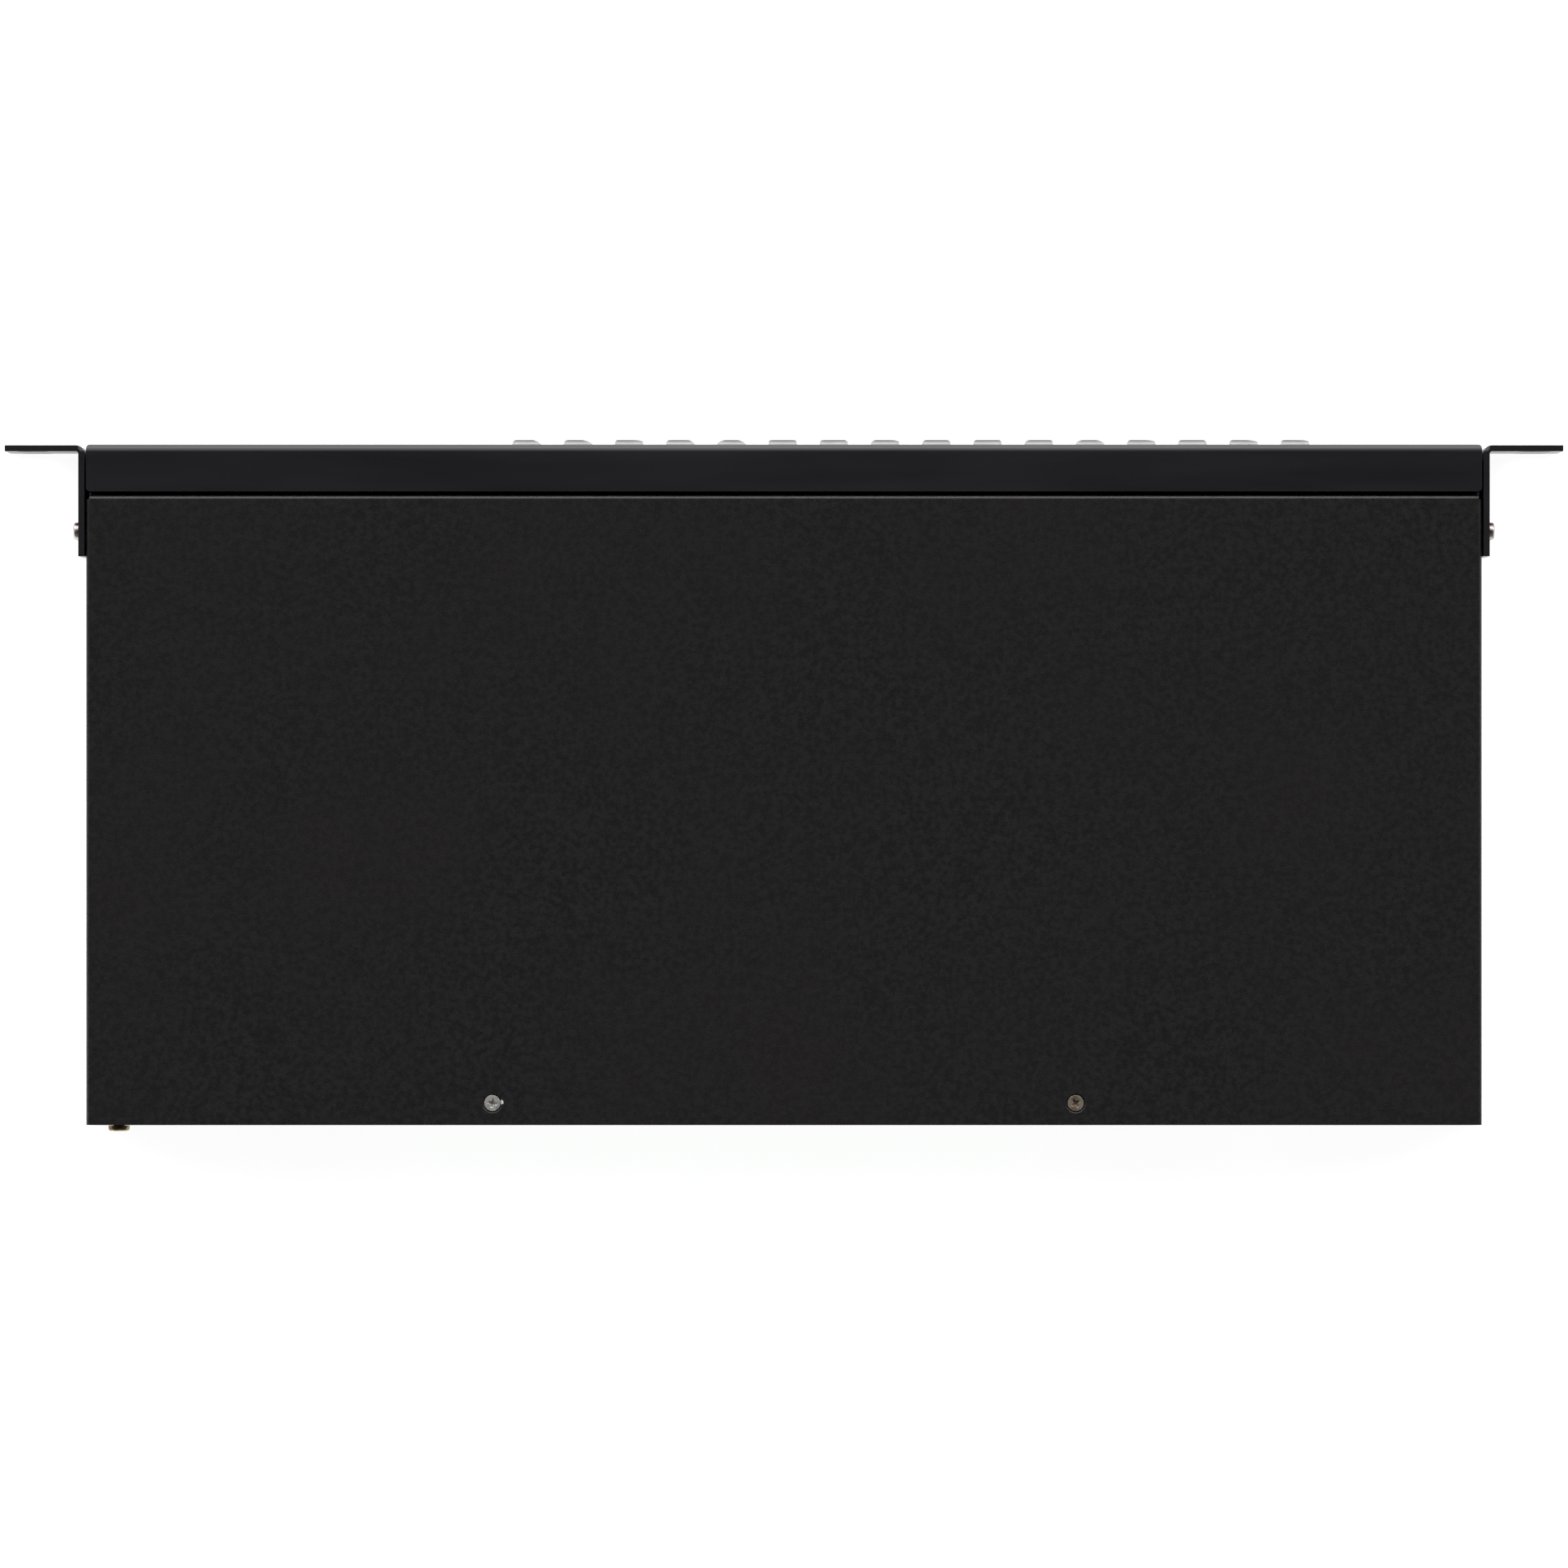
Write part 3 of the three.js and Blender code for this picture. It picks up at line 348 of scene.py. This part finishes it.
CREAM_PLASTIC = moulded("cream_plastic", (0.55, 0.52, 0.44), (0.62, 0.59, 0.5))
GREEN_PLASTIC = moulded("green_plastic", (0.012, 0.16, 0.045), (0.018, 0.2, 0.06))
SLEEVE = moulded("capacitor_sleeve", (0.008, 0.010, 0.03), (0.012, 0.015, 0.04), 0.22, 0.34)
INK = printed_ink()
WINDOW = smoked_window()
BOARD = circuit_board(BOARD_TOP + 0.15 * MM)
UPRIGHT_BOARD = circuit_board(1.0)
RIBBON = ribbed("ribbon", (0.17, 0.175, 0.18), (0.3, 0.31, 0.32), 1.27 * MM, "X")

FINISHES = {
    "top_cover": COVER_COAT,
    "chassis_tray": POWDER_COAT,
    "front_panel": SATIN,
    "left_rack_ear": satin_paint("left_ear_paint", worn_bend("left")),
    "right_rack_ear": satin_paint("right_ear_paint", worn_bend("right")),
    "display_window": WINDOW,
    "key_board": UPRIGHT_BOARD,
    "jack_board": BOARD,
    "main_board": BOARD,
    "power_light_pipe": KEY_PLASTIC,
    "network_port": TIN,
    "regulator_heatsink": ALUMINIUM,
    "ribbon_cable": RIBBON,
    "reservoir_capacitor_1": SLEEVE,
    "reservoir_capacitor_2": SLEEVE,
    **{f"terminal_header_{n}": GREEN_PLASTIC for n in range(1, 5)},
}


# ---- Finishing the CAD nodes ----
EDGE = {
    "top_cover": 0.18, "chassis_tray": 0.18, "front_panel": 0.32,
    "left_rack_ear": 0.25, "right_rack_ear": 0.25,
}
SHARP = math.radians(24)


def finish_node(name, node):
    """Gives a CAD node its material, soft edges and smooth bends."""
    node.data.materials.clear()
    node.data.materials.append(FINISHES.get(name, BLACK_PLASTIC))
    for polygon in node.data.polygons:
        polygon.use_smooth = True
    weld = node.modifiers.new("weld", "WELD")
    weld.merge_threshold = 0.002 * MM
    bevel = node.modifiers.new("soft_edges", "BEVEL")
    bevel.width = EDGE.get(name, 0.15) * MM
    bevel.segments = 2
    bevel.limit_method = "ANGLE"
    bevel.angle_limit = SHARP
    bevel.harden_normals = False
    normals = node.modifiers.new("even_normals", "WEIGHTED_NORMAL")
    normals.keep_sharp = False


for node_name, cad_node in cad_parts.items():
    finish_node(node_name, cad_node)


# ---- Making pieces ----
def piece(name, verts, faces, material, slot, body=CHASSIS, smooth_below=32):
    """A mesh object in the frame's own coordinates, riding on a body."""
    mesh = bpy.data.meshes.new(name)
    mesh.from_pydata([tuple(v) for v in verts], [], faces)
    mesh.materials.append(material)
    tidy = bmesh.new()
    tidy.from_mesh(mesh)
    bmesh.ops.recalc_face_normals(tidy, faces=tidy.faces)
    tidy.to_mesh(mesh)
    tidy.free()
    mesh.shade_smooth()
    mesh.set_sharp_from_angle(angle=math.radians(smooth_below))
    made = bpy.data.objects.new(name, mesh)
    bpy.context.scene.collection.objects.link(made)
    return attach(made, body)


def gather(parts):
    """Several (verts, faces) as one."""
    verts, faces = [], []
    for part_verts, part_faces in parts:
        start = len(verts)
        verts += part_verts
        faces += [tuple(start + i for i in face) for face in part_faces]
    return verts, faces


def turned_about_z(profile, segments=48, ring=False):
    """(radius, height) pairs turned about Z. A zero radius is a pole; a ring closes on itself."""
    verts, loops, faces = [], [], []
    for radius, height in profile:
        if radius == 0:
            loops.append([len(verts)] * segments)
            verts.append(Vector((0, 0, height)))
            continue
        loops.append(list(range(len(verts), len(verts) + segments)))
        for n in range(segments):
            turn = 2 * math.pi * n / segments
            verts.append(Vector((radius * math.cos(turn), radius * math.sin(turn), height)))
    pairs = list(zip(loops, loops[1:] + loops[:1])) if ring else list(zip(loops, loops[1:]))
    for below, above in pairs:
        for n in range(segments):
            m = (n + 1) % segments
            corners = (below[n], below[m], above[m], above[n])
            faces.append(tuple(dict.fromkeys(corners)))
    return verts, faces


def lofted(loops):
    """Closed loops of the same count joined in order, with both ends capped."""
    count = len(loops[0])
    verts = [v for loop in loops for v in loop]
    faces = []
    for n in range(len(loops) - 1):
        for i in range(count):
            j = (i + 1) % count
            faces.append((n * count + i, n * count + j, (n + 1) * count + j, (n + 1) * count + i))
    faces.append(tuple(range(count)))
    faces.append(tuple(range(len(verts) - count, len(verts))))
    return verts, faces


def rounded_box(low, high, radius):
    """A box with bevelled edges."""
    made = bmesh.new()
    low, high = Vector(low), Vector(high)
    size = high - low
    spread = Matrix.Translation((low + high) / 2) @ Matrix.Diagonal((*size, 1))
    bmesh.ops.create_cube(made, size=1.0, matrix=spread)
    bmesh.ops.bevel(made, geom=made.edges[:], offset=radius, segments=2, affect="EDGES", profile=0.5)
    made.verts.index_update()
    verts = [v.co.copy() for v in made.verts]
    faces = [tuple(v.index for v in face.verts) for face in made.faces]
    made.free()
    return verts, faces


def placed(part, matrix):
    verts, faces = part
    return [matrix @ v for v in verts], faces


def facing(axis):
    """The turn that takes +Z to an axis."""
    return Vector((0, 0, 1)).rotation_difference(Vector(axis)).to_matrix().to_4x4()


# ---- Screws: a domed or flat head with a cross recess, and a threaded shank ----
def recess_depth(x, y, reach, deepest):
    """How deep a cross recess is at a point of the head."""
    blade, wall = reach * 0.27, reach * 0.09

    def arm(u, v):
        side = min(1.0, max(0.0, (blade - abs(v)) / wall))
        end = min(1.0, max(0.0, (reach - abs(u)) / (reach * 0.55)))
        return side * end

    heart = min(1.0, max(0.0, (reach * 0.5 - math.hypot(x, y)) / (reach * 0.25))) * 0.75
    return deepest * max(arm(x, y), arm(y, x), heart)


def screw(radius, height, shank, length, turn, domed, segments=72, rings=22):
    """A screw about +Z with its head's seat at height 0, or its head's top there if it is flat."""
    top = height if domed else 0.0
    edge = 0.35 * height if domed else 0.12 * MM
    reach = radius * 0.56
    deepest = 0.55 * height + (0.25 * MM if domed else 0.35 * MM)
    verts, faces = [Vector((0, 0, top - deepest))], []
    for ring in range(1, rings + 1):
        r = radius * ring / rings
        across = min(1.0, max(0.0, (r - (radius - edge)) / edge))
        crown = 0.16 * height * (r / radius) ** 2 if domed else 0.0
        level = top - crown - edge * (1 - math.sqrt(max(0.0, 1 - across**2)))
        for n in range(segments):
            angle = 2 * math.pi * n / segments
            x, y = r * math.cos(angle), r * math.sin(angle)
            u = x * math.cos(turn) + y * math.sin(turn)
            v = y * math.cos(turn) - x * math.sin(turn)
            verts.append(Vector((x, y, level - recess_depth(u, v, reach, deepest))))
    head_foot = 0.0 if domed else shank - radius
    if domed:
        side = [(radius, min(0.06 * MM, level)), (radius - 0.06 * MM, head_foot)]
    else:
        side = [(shank, head_foot)]
    pitch = 0.5 * MM
    threads = int((length + head_foot - 0.4 * MM) / pitch)
    thread = []
    for n in range(threads):
        z = head_foot - 0.3 * MM - n * pitch
        thread += [(shank - 0.14 * MM, z), (shank, z - pitch / 2)]
    tip = [(shank * 0.55, -length)]
    for r, z in side + [(shank, head_foot - 0.05 * MM)] + thread + tip:
        for n in range(segments):
            angle = 2 * math.pi * n / segments
            verts.append(Vector((r * math.cos(angle), r * math.sin(angle), z)))
    loops = (len(verts) - 1) // segments
    for n in range(segments):
        m = (n + 1) % segments
        faces.append((0, 1 + n, 1 + m))
        for k in range(loops - 1):
            a, b = 1 + k * segments, 1 + (k + 1) * segments
            faces.append((a + n, b + n, b + m, a + m))
    faces.append(tuple(range(len(verts) - segments, len(verts))))
    return verts, faces


def fit_screw(node, axis, domed, material, slot, turn, head_height):
    """Replaces a CAD screw, whose box and outward axis say where it goes, by a finished one."""
    low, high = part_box(node)
    axis = Vector(axis)
    size = high - low
    length = abs(size.dot(axis))
    across = [size[i] for i in range(3) if abs(axis[i]) < 0.5]
    outer = (low + high) / 2 + axis * length / 2
    radius = max(across) / 2
    shank = 0.52 * radius
    seat = outer - axis * head_height if domed else outer
    body = screw(radius, head_height, shank, length - (head_height if domed else 0.0), turn, domed)
    made = piece(f"{node}_finished", *placed(body, Matrix.Translation(seat) @ facing(axis)), material, slot)
    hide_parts(node)


def fit_screws():
    pan, flat, ground = 1.9 * MM, 1.3 * MM, 1.75 * MM
    for side, sign in SIDES.items():
        for level, turn in (("lower", 0.5), ("upper", 1.1)):
            node = f"{side}_ear_screw_{level}"
            fit_screw(node, (sign, 0, 0), True, NICKEL, "nickel_steel", turn + sign, pan)
    fit_screw("right_cover_screw", (0, 0, 1), False, WORN_NICKEL, "nickel_steel", math.radians(-15), flat)
    fit_screw("left_cover_screw", (0, 0, 1), False, OLD_NICKEL, "nickel_steel", math.radians(35), flat)
    for n in (1, 2, 3):
        fit_screw(f"front_panel_screw_{n}", (0, 0, -1), False, NICKEL, "nickel_steel", 0.7 * n, flat)
        fit_screw(f"jack_board_screw_{n}", (0, 0, 1), True, NICKEL, "nickel_steel", 0.9 * n, pan)
    for n in (1, 2, 3, 4):
        fit_screw(f"main_board_screw_{n}", (0, 0, 1), True, NICKEL, "nickel_steel", 0.4 * n, pan)
    fit_screw("ground_screw", (0, 1, 0), True, BRASS, "brass", 0.3, ground)


def fit_washer():
    """The toothed lock washer under the ground screw, its teeth twisted out of its plane."""
    low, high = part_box("ground_washer")
    thick = high.y - low.y
    outer, bore = 2.55 * MM, 2.0 * MM
    edge = 0.08 * MM
    ring = turned_about_z(
        [(bore, edge), (bore + edge, 0), (outer - edge, 0), (outer, edge), (outer, thick - edge),
         (outer - edge, thick), (bore + edge, thick), (bore, thick - edge)], ring=True,
    )
    teeth = []
    count = 12
    for n in range(count):
        tooth_low = (-0.45 * MM, -0.36 * MM, 0.06 * MM)
        tooth_high = (0.45 * MM, 0.36 * MM, thick - 0.06 * MM)
        tooth = rounded_box(tooth_low, tooth_high, 0.06 * MM)
        twist = Matrix.Rotation(math.radians(12), 4, "X")
        turn = Matrix.Rotation(2 * math.pi * n / count, 4, "Z")
        teeth.append(placed(tooth, turn @ Matrix.Translation((outer + 0.25 * MM, 0, 0)) @ twist))
    centre = middle("ground_washer")
    where = Matrix.Translation((centre.x, low.y, centre.z)) @ facing((0, 1, 0))
    made = piece("ground_washer_finished", *placed(gather([ring, *teeth]), where), PALE_BRASS, "brass")
    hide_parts("ground_washer")


# ---- Keys: crowned caps with soft shoulders, whose fronts fall away by different amounts ----
# For each key, on its right (+X) and its left (-X): how wide the fall is and how deep it gets, in mm.
KEY_FALLS = [
    (0.8, 0.3, 4.0, 0.3), (0.8, 0.3, 4.4, 0.5), (0.8, 0.3, 1.2, 0.5), (1.0, 0.5, 4.2, 0.35),
    (2.2, 0.8, 3.0, 0.9), (1.8, 0.6, 0.8, 0.2), (0.9, 0.4, 0.9, 0.4), (1.2, 0.6, 1.2, 0.5),
    (1.6, 0.6, 4.0, 0.3), (0.8, 0.3, 1.2, 0.6), (0.6, 0.2, 0.6, 0.2), (2.8, 0.9, 3.0, 1.0),
    (1.2, 0.5, 2.4, 0.9), (0.8, 0.3, 4.0, 0.3), (1.5, 0.5, 3.6, 1.0), (1.2, 0.6, 2.9, 1.15),
]
KEY_PROUD = 1.6 * MM


def fall(x, half, falls):
    """How far back a key's front is at x, for a key whose half width is half."""
    width, depth = (falls[0], falls[1]) if x > 0 else (falls[2], falls[3])
    along = max(0.0, (abs(x) - half + width * MM) / (width * MM))
    return depth * MM * along**1.8


def rounded_square(half, corner, steps=6, across=10):
    """Points round a square with round corners, with across points along each side."""
    points = []
    reach = half - corner
    for quarter in range(4):
        turn = math.pi / 2 * quarter
        for n in range(steps + 1):
            angle = math.pi / 2 * n / steps
            points.append((reach + corner * math.cos(angle), reach + corner * math.sin(angle), turn))
        for n in range(1, across):
            points.append((reach - 2 * reach * n / across, half, turn))
    return [
        (u * math.cos(turn) - v * math.sin(turn), u * math.sin(turn) + v * math.cos(turn))
        for u, v, turn in points
    ]


def keycap(number, node):
    low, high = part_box(node)
    centre = (low + high) / 2
    falls = KEY_FALLS[number - 1]
    half, corner, shoulder, crown = 4.45 * MM, 1.3 * MM, 0.5 * MM, 0.06 * MM
    loops = []
    flat = half - shoulder
    for share in (0.15, 0.3, 0.45, 0.6, 0.75, 0.88, 1.0):
        loops.append((flat * share, max(0.05 * MM, corner * share), crown * share**2))
    steps = 7
    for n in range(1, steps + 1):
        angle = math.pi / 2 * n / steps
        depth = crown + shoulder * (1 - math.cos(angle))
        loops.append((flat + shoulder * math.sin(angle), corner, depth))
    flange_front = FRONT + 1.4 * MM - low.y
    flange_back = flange_front + 0.8 * MM
    flange = (high.x - low.x) / 2
    soft = 0.12 * MM
    stem = 1.7 * MM
    end = high.y - low.y
    loops += [
        (half, corner, flange_front - soft), (half + soft, corner, flange_front),
        (flange - soft, 0.5 * MM, flange_front), (flange, 0.5 * MM, flange_front + soft),
        (flange, 0.5 * MM, flange_back - soft), (flange - soft, 0.5 * MM, flange_back),
        (stem + 2 * soft, 0.3 * MM, flange_back), (stem, 0.3 * MM, flange_back + 2 * soft),
        (stem, 0.3 * MM, end - 2 * soft), (stem - 2 * soft, 0.3 * MM, end),
    ]
    made_loops = []
    for loop_half, loop_corner, depth in loops:
        kept = max(0.0, 1 - depth / KEY_PROUD)
        made_loops.append([
            Vector((centre.x + x, low.y + depth + kept * fall(x, half, falls), centre.z + z))
            for x, z in rounded_square(loop_half, loop_corner)
        ])
    verts, faces = lofted(made_loops)
    made = piece(f"{node}_finished", verts, faces, KEY_PLASTIC, "key_plastic", f"key_{number:02d}", 50)
    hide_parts(node)


# ---- Printed numbers ----
def printed(name, entries, size, normal):
    """Generic numbers as thin raised ink: (text, point) entries, read from the side normal points to."""
    turn = Matrix.Rotation(math.pi / 2, 4, "X")
    if normal > 0:
        turn = Matrix.Rotation(math.pi, 4, "Z") @ turn
    parts = []
    for text, point in entries:
        curve = bpy.data.curves.new(name, "FONT")
        curve.body = text
        curve.size = size
        curve.align_x, curve.align_y = "CENTER", "CENTER"
        curve.extrude = 0.02 * MM
        curve.resolution_u = 4
        holder = bpy.data.objects.new(name, curve)
        bpy.context.scene.collection.objects.link(holder)
        mesh = bpy.data.meshes.new_from_object(holder)
        where = Matrix.Translation(point) @ turn
        parts.append(([where @ v.co for v in mesh.vertices], [tuple(p.vertices) for p in mesh.polygons]))
        bpy.data.objects.remove(holder)
        bpy.data.meshes.remove(mesh)
    return piece(name, *gather(parts), INK, "key_plastic", CHASSIS, 20)


def print_numbers():
    ink_front = FRONT - 0.015 * MM
    channels = [(str(n + 1), Vector((middle(k).x, ink_front, 23.4 * MM))) for n, k in enumerate(KEYS)]
    printed("channel_numbers", channels, 3.1 * MM, -1)
    rear = []
    for n in range(1, 5):
        low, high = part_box(f"terminal_header_{n}")
        rear.append((str(n), Vector(((low.x + high.x) / 2, REAR_WALL + 0.015 * MM, high.z + 4 * MM))))
    printed("rear_numbers", rear, 3.4 * MM, 1)


# ---- Jacks: a smooth collar, a plated sleeve and the contact springs in each bore ----
JACK_Z = 13.6 * MM


def jack_points():
    return [Vector((middle(node).x, FRONT, JACK_Z)) for node in [*KEYS, "monitor_jack"]]


def finish_jacks():
    collar_profile = [
        (3.55, -0.02), (3.7, -0.12), (4.8, -0.12), (5.0, -0.04), (5.08, 0.1), (5.08, 0.9), (3.55, 0.9),
    ]
    sleeve_profile = [
        (3.14, 0.25), (3.3, 0.0), (3.42, -0.06), (3.6, -0.06),
        (3.6, 9.0), (3.4, 9.0), (3.4, 9.4), (3.14, 9.4),
    ]
    forward = facing((0, 1, 0))
    collars, sleeves, springs = [], [], []
    for point in jack_points():
        where = Matrix.Translation(point) @ forward
        for profile, parts in ((collar_profile, collars), (sleeve_profile, sleeves)):
            parts.append(placed(turned_about_z([(r * MM, h * MM) for r, h in profile], 48, ring=True), where))
        for depth, drop in ((13.0, 2.5), (21.0, 2.3)):
            leaf = rounded_box(
                (-0.9 * MM, depth * MM, (drop - 0.15) * MM),
                (0.9 * MM, (depth + 5) * MM, (drop + 0.15) * MM), 0.06 * MM,
            )
            springs.append(placed(leaf, Matrix.Translation(point)))
    piece("jack_collars", *gather(collars), BLACK_PLASTIC, "black_plastic")
    piece("jack_sleeves", *gather(sleeves), NICKEL, "nickel_steel")
    piece("jack_springs", *gather(springs), GOLD, "brass")


# ---- Rear connectors ----
def finish_headers():
    pitch, poles = 3.81 * MM, 12
    for n in range(1, 5):
        low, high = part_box(f"terminal_header_{n}")
        centre_x = (low.x + high.x) / 2
        pins, keys = [], []
        for level in (2.2 * MM, 11.4 * MM):
            middle_z = low.z + level + 3.4 * MM
            for pole in range(poles):
                x = centre_x + (pole - (poles - 1) / 2) * pitch
                start = high.y - 10.4 * MM
                pins.append(rounded_box(
                    (x - 0.4 * MM, start, middle_z - 0.4 * MM),
                    (x + 0.4 * MM, high.y - 2.2 * MM, middle_z + 0.4 * MM),
                    0.14 * MM,
                ))
                keys.append(rounded_box(
                    (x - 0.75 * MM, high.y - 9.6 * MM, low.z + level + 6.15 * MM),
                    (x + 0.75 * MM, high.y - 0.3 * MM, low.z + level + 6.9 * MM), 0.12 * MM,
                ))
        piece(f"header_pins_{n}", *gather(pins), TIN, "tinned_shell")
        piece(f"header_ribs_{n}", *gather(keys), GREEN_PLASTIC, "green_plastic")


def finish_network_port():
    low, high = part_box("network_port")
    centre = (low + high) / 2
    contacts = []
    for n in range(8):
        x = centre.x + (n - 3.5) * 1.02 * MM
        wire = [
            rounded_box((x - 0.2 * MM, high.y - 11.8 * MM, centre.z + 2.6 * MM),
                        (x + 0.2 * MM, high.y - 9.0 * MM, centre.z + 4.4 * MM), 0.05 * MM),
            placed(
                rounded_box((-0.2 * MM, 0, -0.2 * MM), (0.2 * MM, 8.2 * MM, 0.2 * MM), 0.05 * MM),
                Matrix.Translation((x, high.y - 9.6 * MM, centre.z + 1.2 * MM))
                @ Matrix.Rotation(0.35, 4, "X"),
            ),
        ]
        contacts += wire
    piece("network_contacts", *gather(contacts), GOLD, "brass")


# ---- Parts on the boards ----
def finish_boards():
    """Relay covers over their blocks, and the legs of the chips."""
    parts_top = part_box("main_board")[1].z
    foot = BOARD_TOP
    first_x = middle("terminal_header_1").x - 2 * MM
    relays, legs = [], []
    skin = 0.15 * MM
    for row in (118 * MM, 148 * MM):
        for n in range(8):
            x, y = first_x + n * 22 * MM, FRONT + row
            relays.append(rounded_box(
                (x - skin, y - skin, foot + 0.3 * MM),
                (x + 10.4 * MM + skin, y + 15.6 * MM + skin, parts_top + skin),
                0.5 * MM,
            ))
    for n in range(8):
        x = first_x - 3 * MM + n * 22 * MM
        for leg in range(14):
            leg_x = x + 0.65 * MM + leg * 1.27 * MM
            for side in (-1, 1):
                edge = FRONT + 96 * MM + (7.6 * MM if side > 0 else 0.0)
                near, far = sorted((edge - side * 0.2 * MM, edge + side * 1.3 * MM))
                legs.append(rounded_box(
                    (leg_x - 0.2 * MM, near, foot + 0.02 * MM),
                    (leg_x + 0.2 * MM, far, foot + 0.5 * MM), 0.08 * MM,
                ))
    piece("relay_covers", *gather(relays), CREAM_PLASTIC, "black_plastic")
    piece("chip_legs", *gather(legs), TIN, "tinned_shell")


fit_screws()
fit_washer()
for index, key_node in enumerate(KEYS):
    keycap(index + 1, key_node)
print_numbers()
finish_jacks()
finish_headers()
finish_network_port()
finish_boards()


# ---- Floor, light and world ----
FLOOR_GLOW = 0.9


def clear_of_unit(look):
    """1 where the floor is open, and 0 in the dark under the body and the ears' flanges."""
    ear_low, ear_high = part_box("right_rack_ear")
    inset = 0.4 * MM
    flange = 1.9 * MM
    covered = 0.0
    for reach, front, back in (
        (cover_high.x, FRONT, cover_high.y),
        (ear_low.x + flange, ear_low.y + 2 * flange, ear_high.y),
    ):
        across = look.maths("LESS_THAN", look.maths("ABSOLUTE", look.axis("X")), reach - inset)
        from_middle = look.maths("ABSOLUTE", look.maths("SUBTRACT", look.axis("Y"), (front + back) / 2))
        along = look.maths("LESS_THAN", from_middle, (back - front) / 2 - inset)
        covered = look.maths("MAXIMUM", look.maths("MULTIPLY", across, along), covered)
    return look.maths("SUBTRACT", 1.0, covered)


def make_floor():
    reach = 20.0
    mesh = bpy.data.meshes.new("floor")
    corners = [(-reach, -reach, 0), (reach, -reach, 0), (reach, reach, 0), (-reach, reach, 0)]
    mesh.from_pydata(corners, [], [(0, 1, 2, 3)])
    floor = bpy.data.objects.new("floor", mesh)
    floor.location.z = -0.3 * MM
    bpy.context.scene.collection.objects.link(floor)
    look = Look("floor", (0.9, 0.9, 0.9), Roughness=0.9, Specular_IOR_Level=0.0)
    look.shader.inputs["Emission Color"].default_value = (1.0, 1.0, 1.0, 1.0)
    look.set("Emission Strength", look.maths("MULTIPLY", clear_of_unit(look), FLOOR_GLOW))
    speckle = look.noise(0.4, 2.0)
    shade = look.remap(speckle, 0.3, 0.7)
    look.set("Base Color", look.blend(shade, (0.9, 0.9, 0.9), (0.92, 0.92, 0.92)))
    clear = look.node("ShaderNodeBsdfTransparent")
    facing_away = look.node("ShaderNodeNewGeometry").outputs["Backfacing"]
    mix = look.node("ShaderNodeMixShader")
    look.feed(mix.inputs[0], facing_away)
    look.feed(mix.inputs[1], look.shader.outputs[0])
    look.feed(mix.inputs[2], clear.outputs[0])
    look.feed(look.tree.nodes["Material Output"].inputs["Surface"], mix.outputs[0])
    mesh.materials.append(look.material)


# The wall in front of the unit: (sine of the height above the horizon, share of full brightness).
WALL = [(0.0, 0.98), (0.3, 0.74), (0.52, 0.58), (0.71, 0.42), (0.85, 0.22), (0.94, 0.08), (1.0, 0.02)]
WALL_STRENGTH = 5.0
ROOM_STRENGTH = 0.3


def make_world():
    """A bright wall in front of the unit, fading as it rises, in an otherwise dim room."""
    world = bpy.data.worlds.new("studio")
    bpy.context.scene.world = world
    world.use_nodes = True
    tree = world.node_tree
    place = tree.nodes.new("ShaderNodeTexCoord")
    split = tree.nodes.new("ShaderNodeSeparateXYZ")
    tree.links.new(place.outputs["Generated"], split.inputs[0])
    wall = tree.nodes.new("ShaderNodeValToRGB")
    tree.links.new(split.outputs["Z"], wall.inputs[0])
    stops = wall.color_ramp.elements
    while len(stops) < len(WALL):
        stops.new(0.5)
    for stop, (height, share) in zip(stops, WALL):
        stop.position, stop.color = height, (share, share, share, 1.0)
    toward_front = tree.nodes.new("ShaderNodeMapRange")
    toward_front.interpolation_type = "SMOOTHSTEP"
    tree.links.new(split.outputs["Y"], toward_front.inputs["Value"])
    for socket, value in zip(toward_front.inputs[1:5], (-0.05, -0.7, ROOM_STRENGTH, WALL_STRENGTH)):
        socket.default_value = value
    total = tree.nodes.new("ShaderNodeMath")
    total.operation = "MULTIPLY"
    tree.links.new(wall.outputs["Color"], total.inputs[0])
    tree.links.new(toward_front.outputs["Result"], total.inputs[1])
    background = tree.nodes["Background"]
    background.inputs["Color"].default_value = (1.0, 1.0, 1.0, 1.0)
    tree.links.new(total.outputs[0], background.inputs["Strength"])


make_floor()
make_world()
bpy.context.scene.view_settings.view_transform = "Standard"
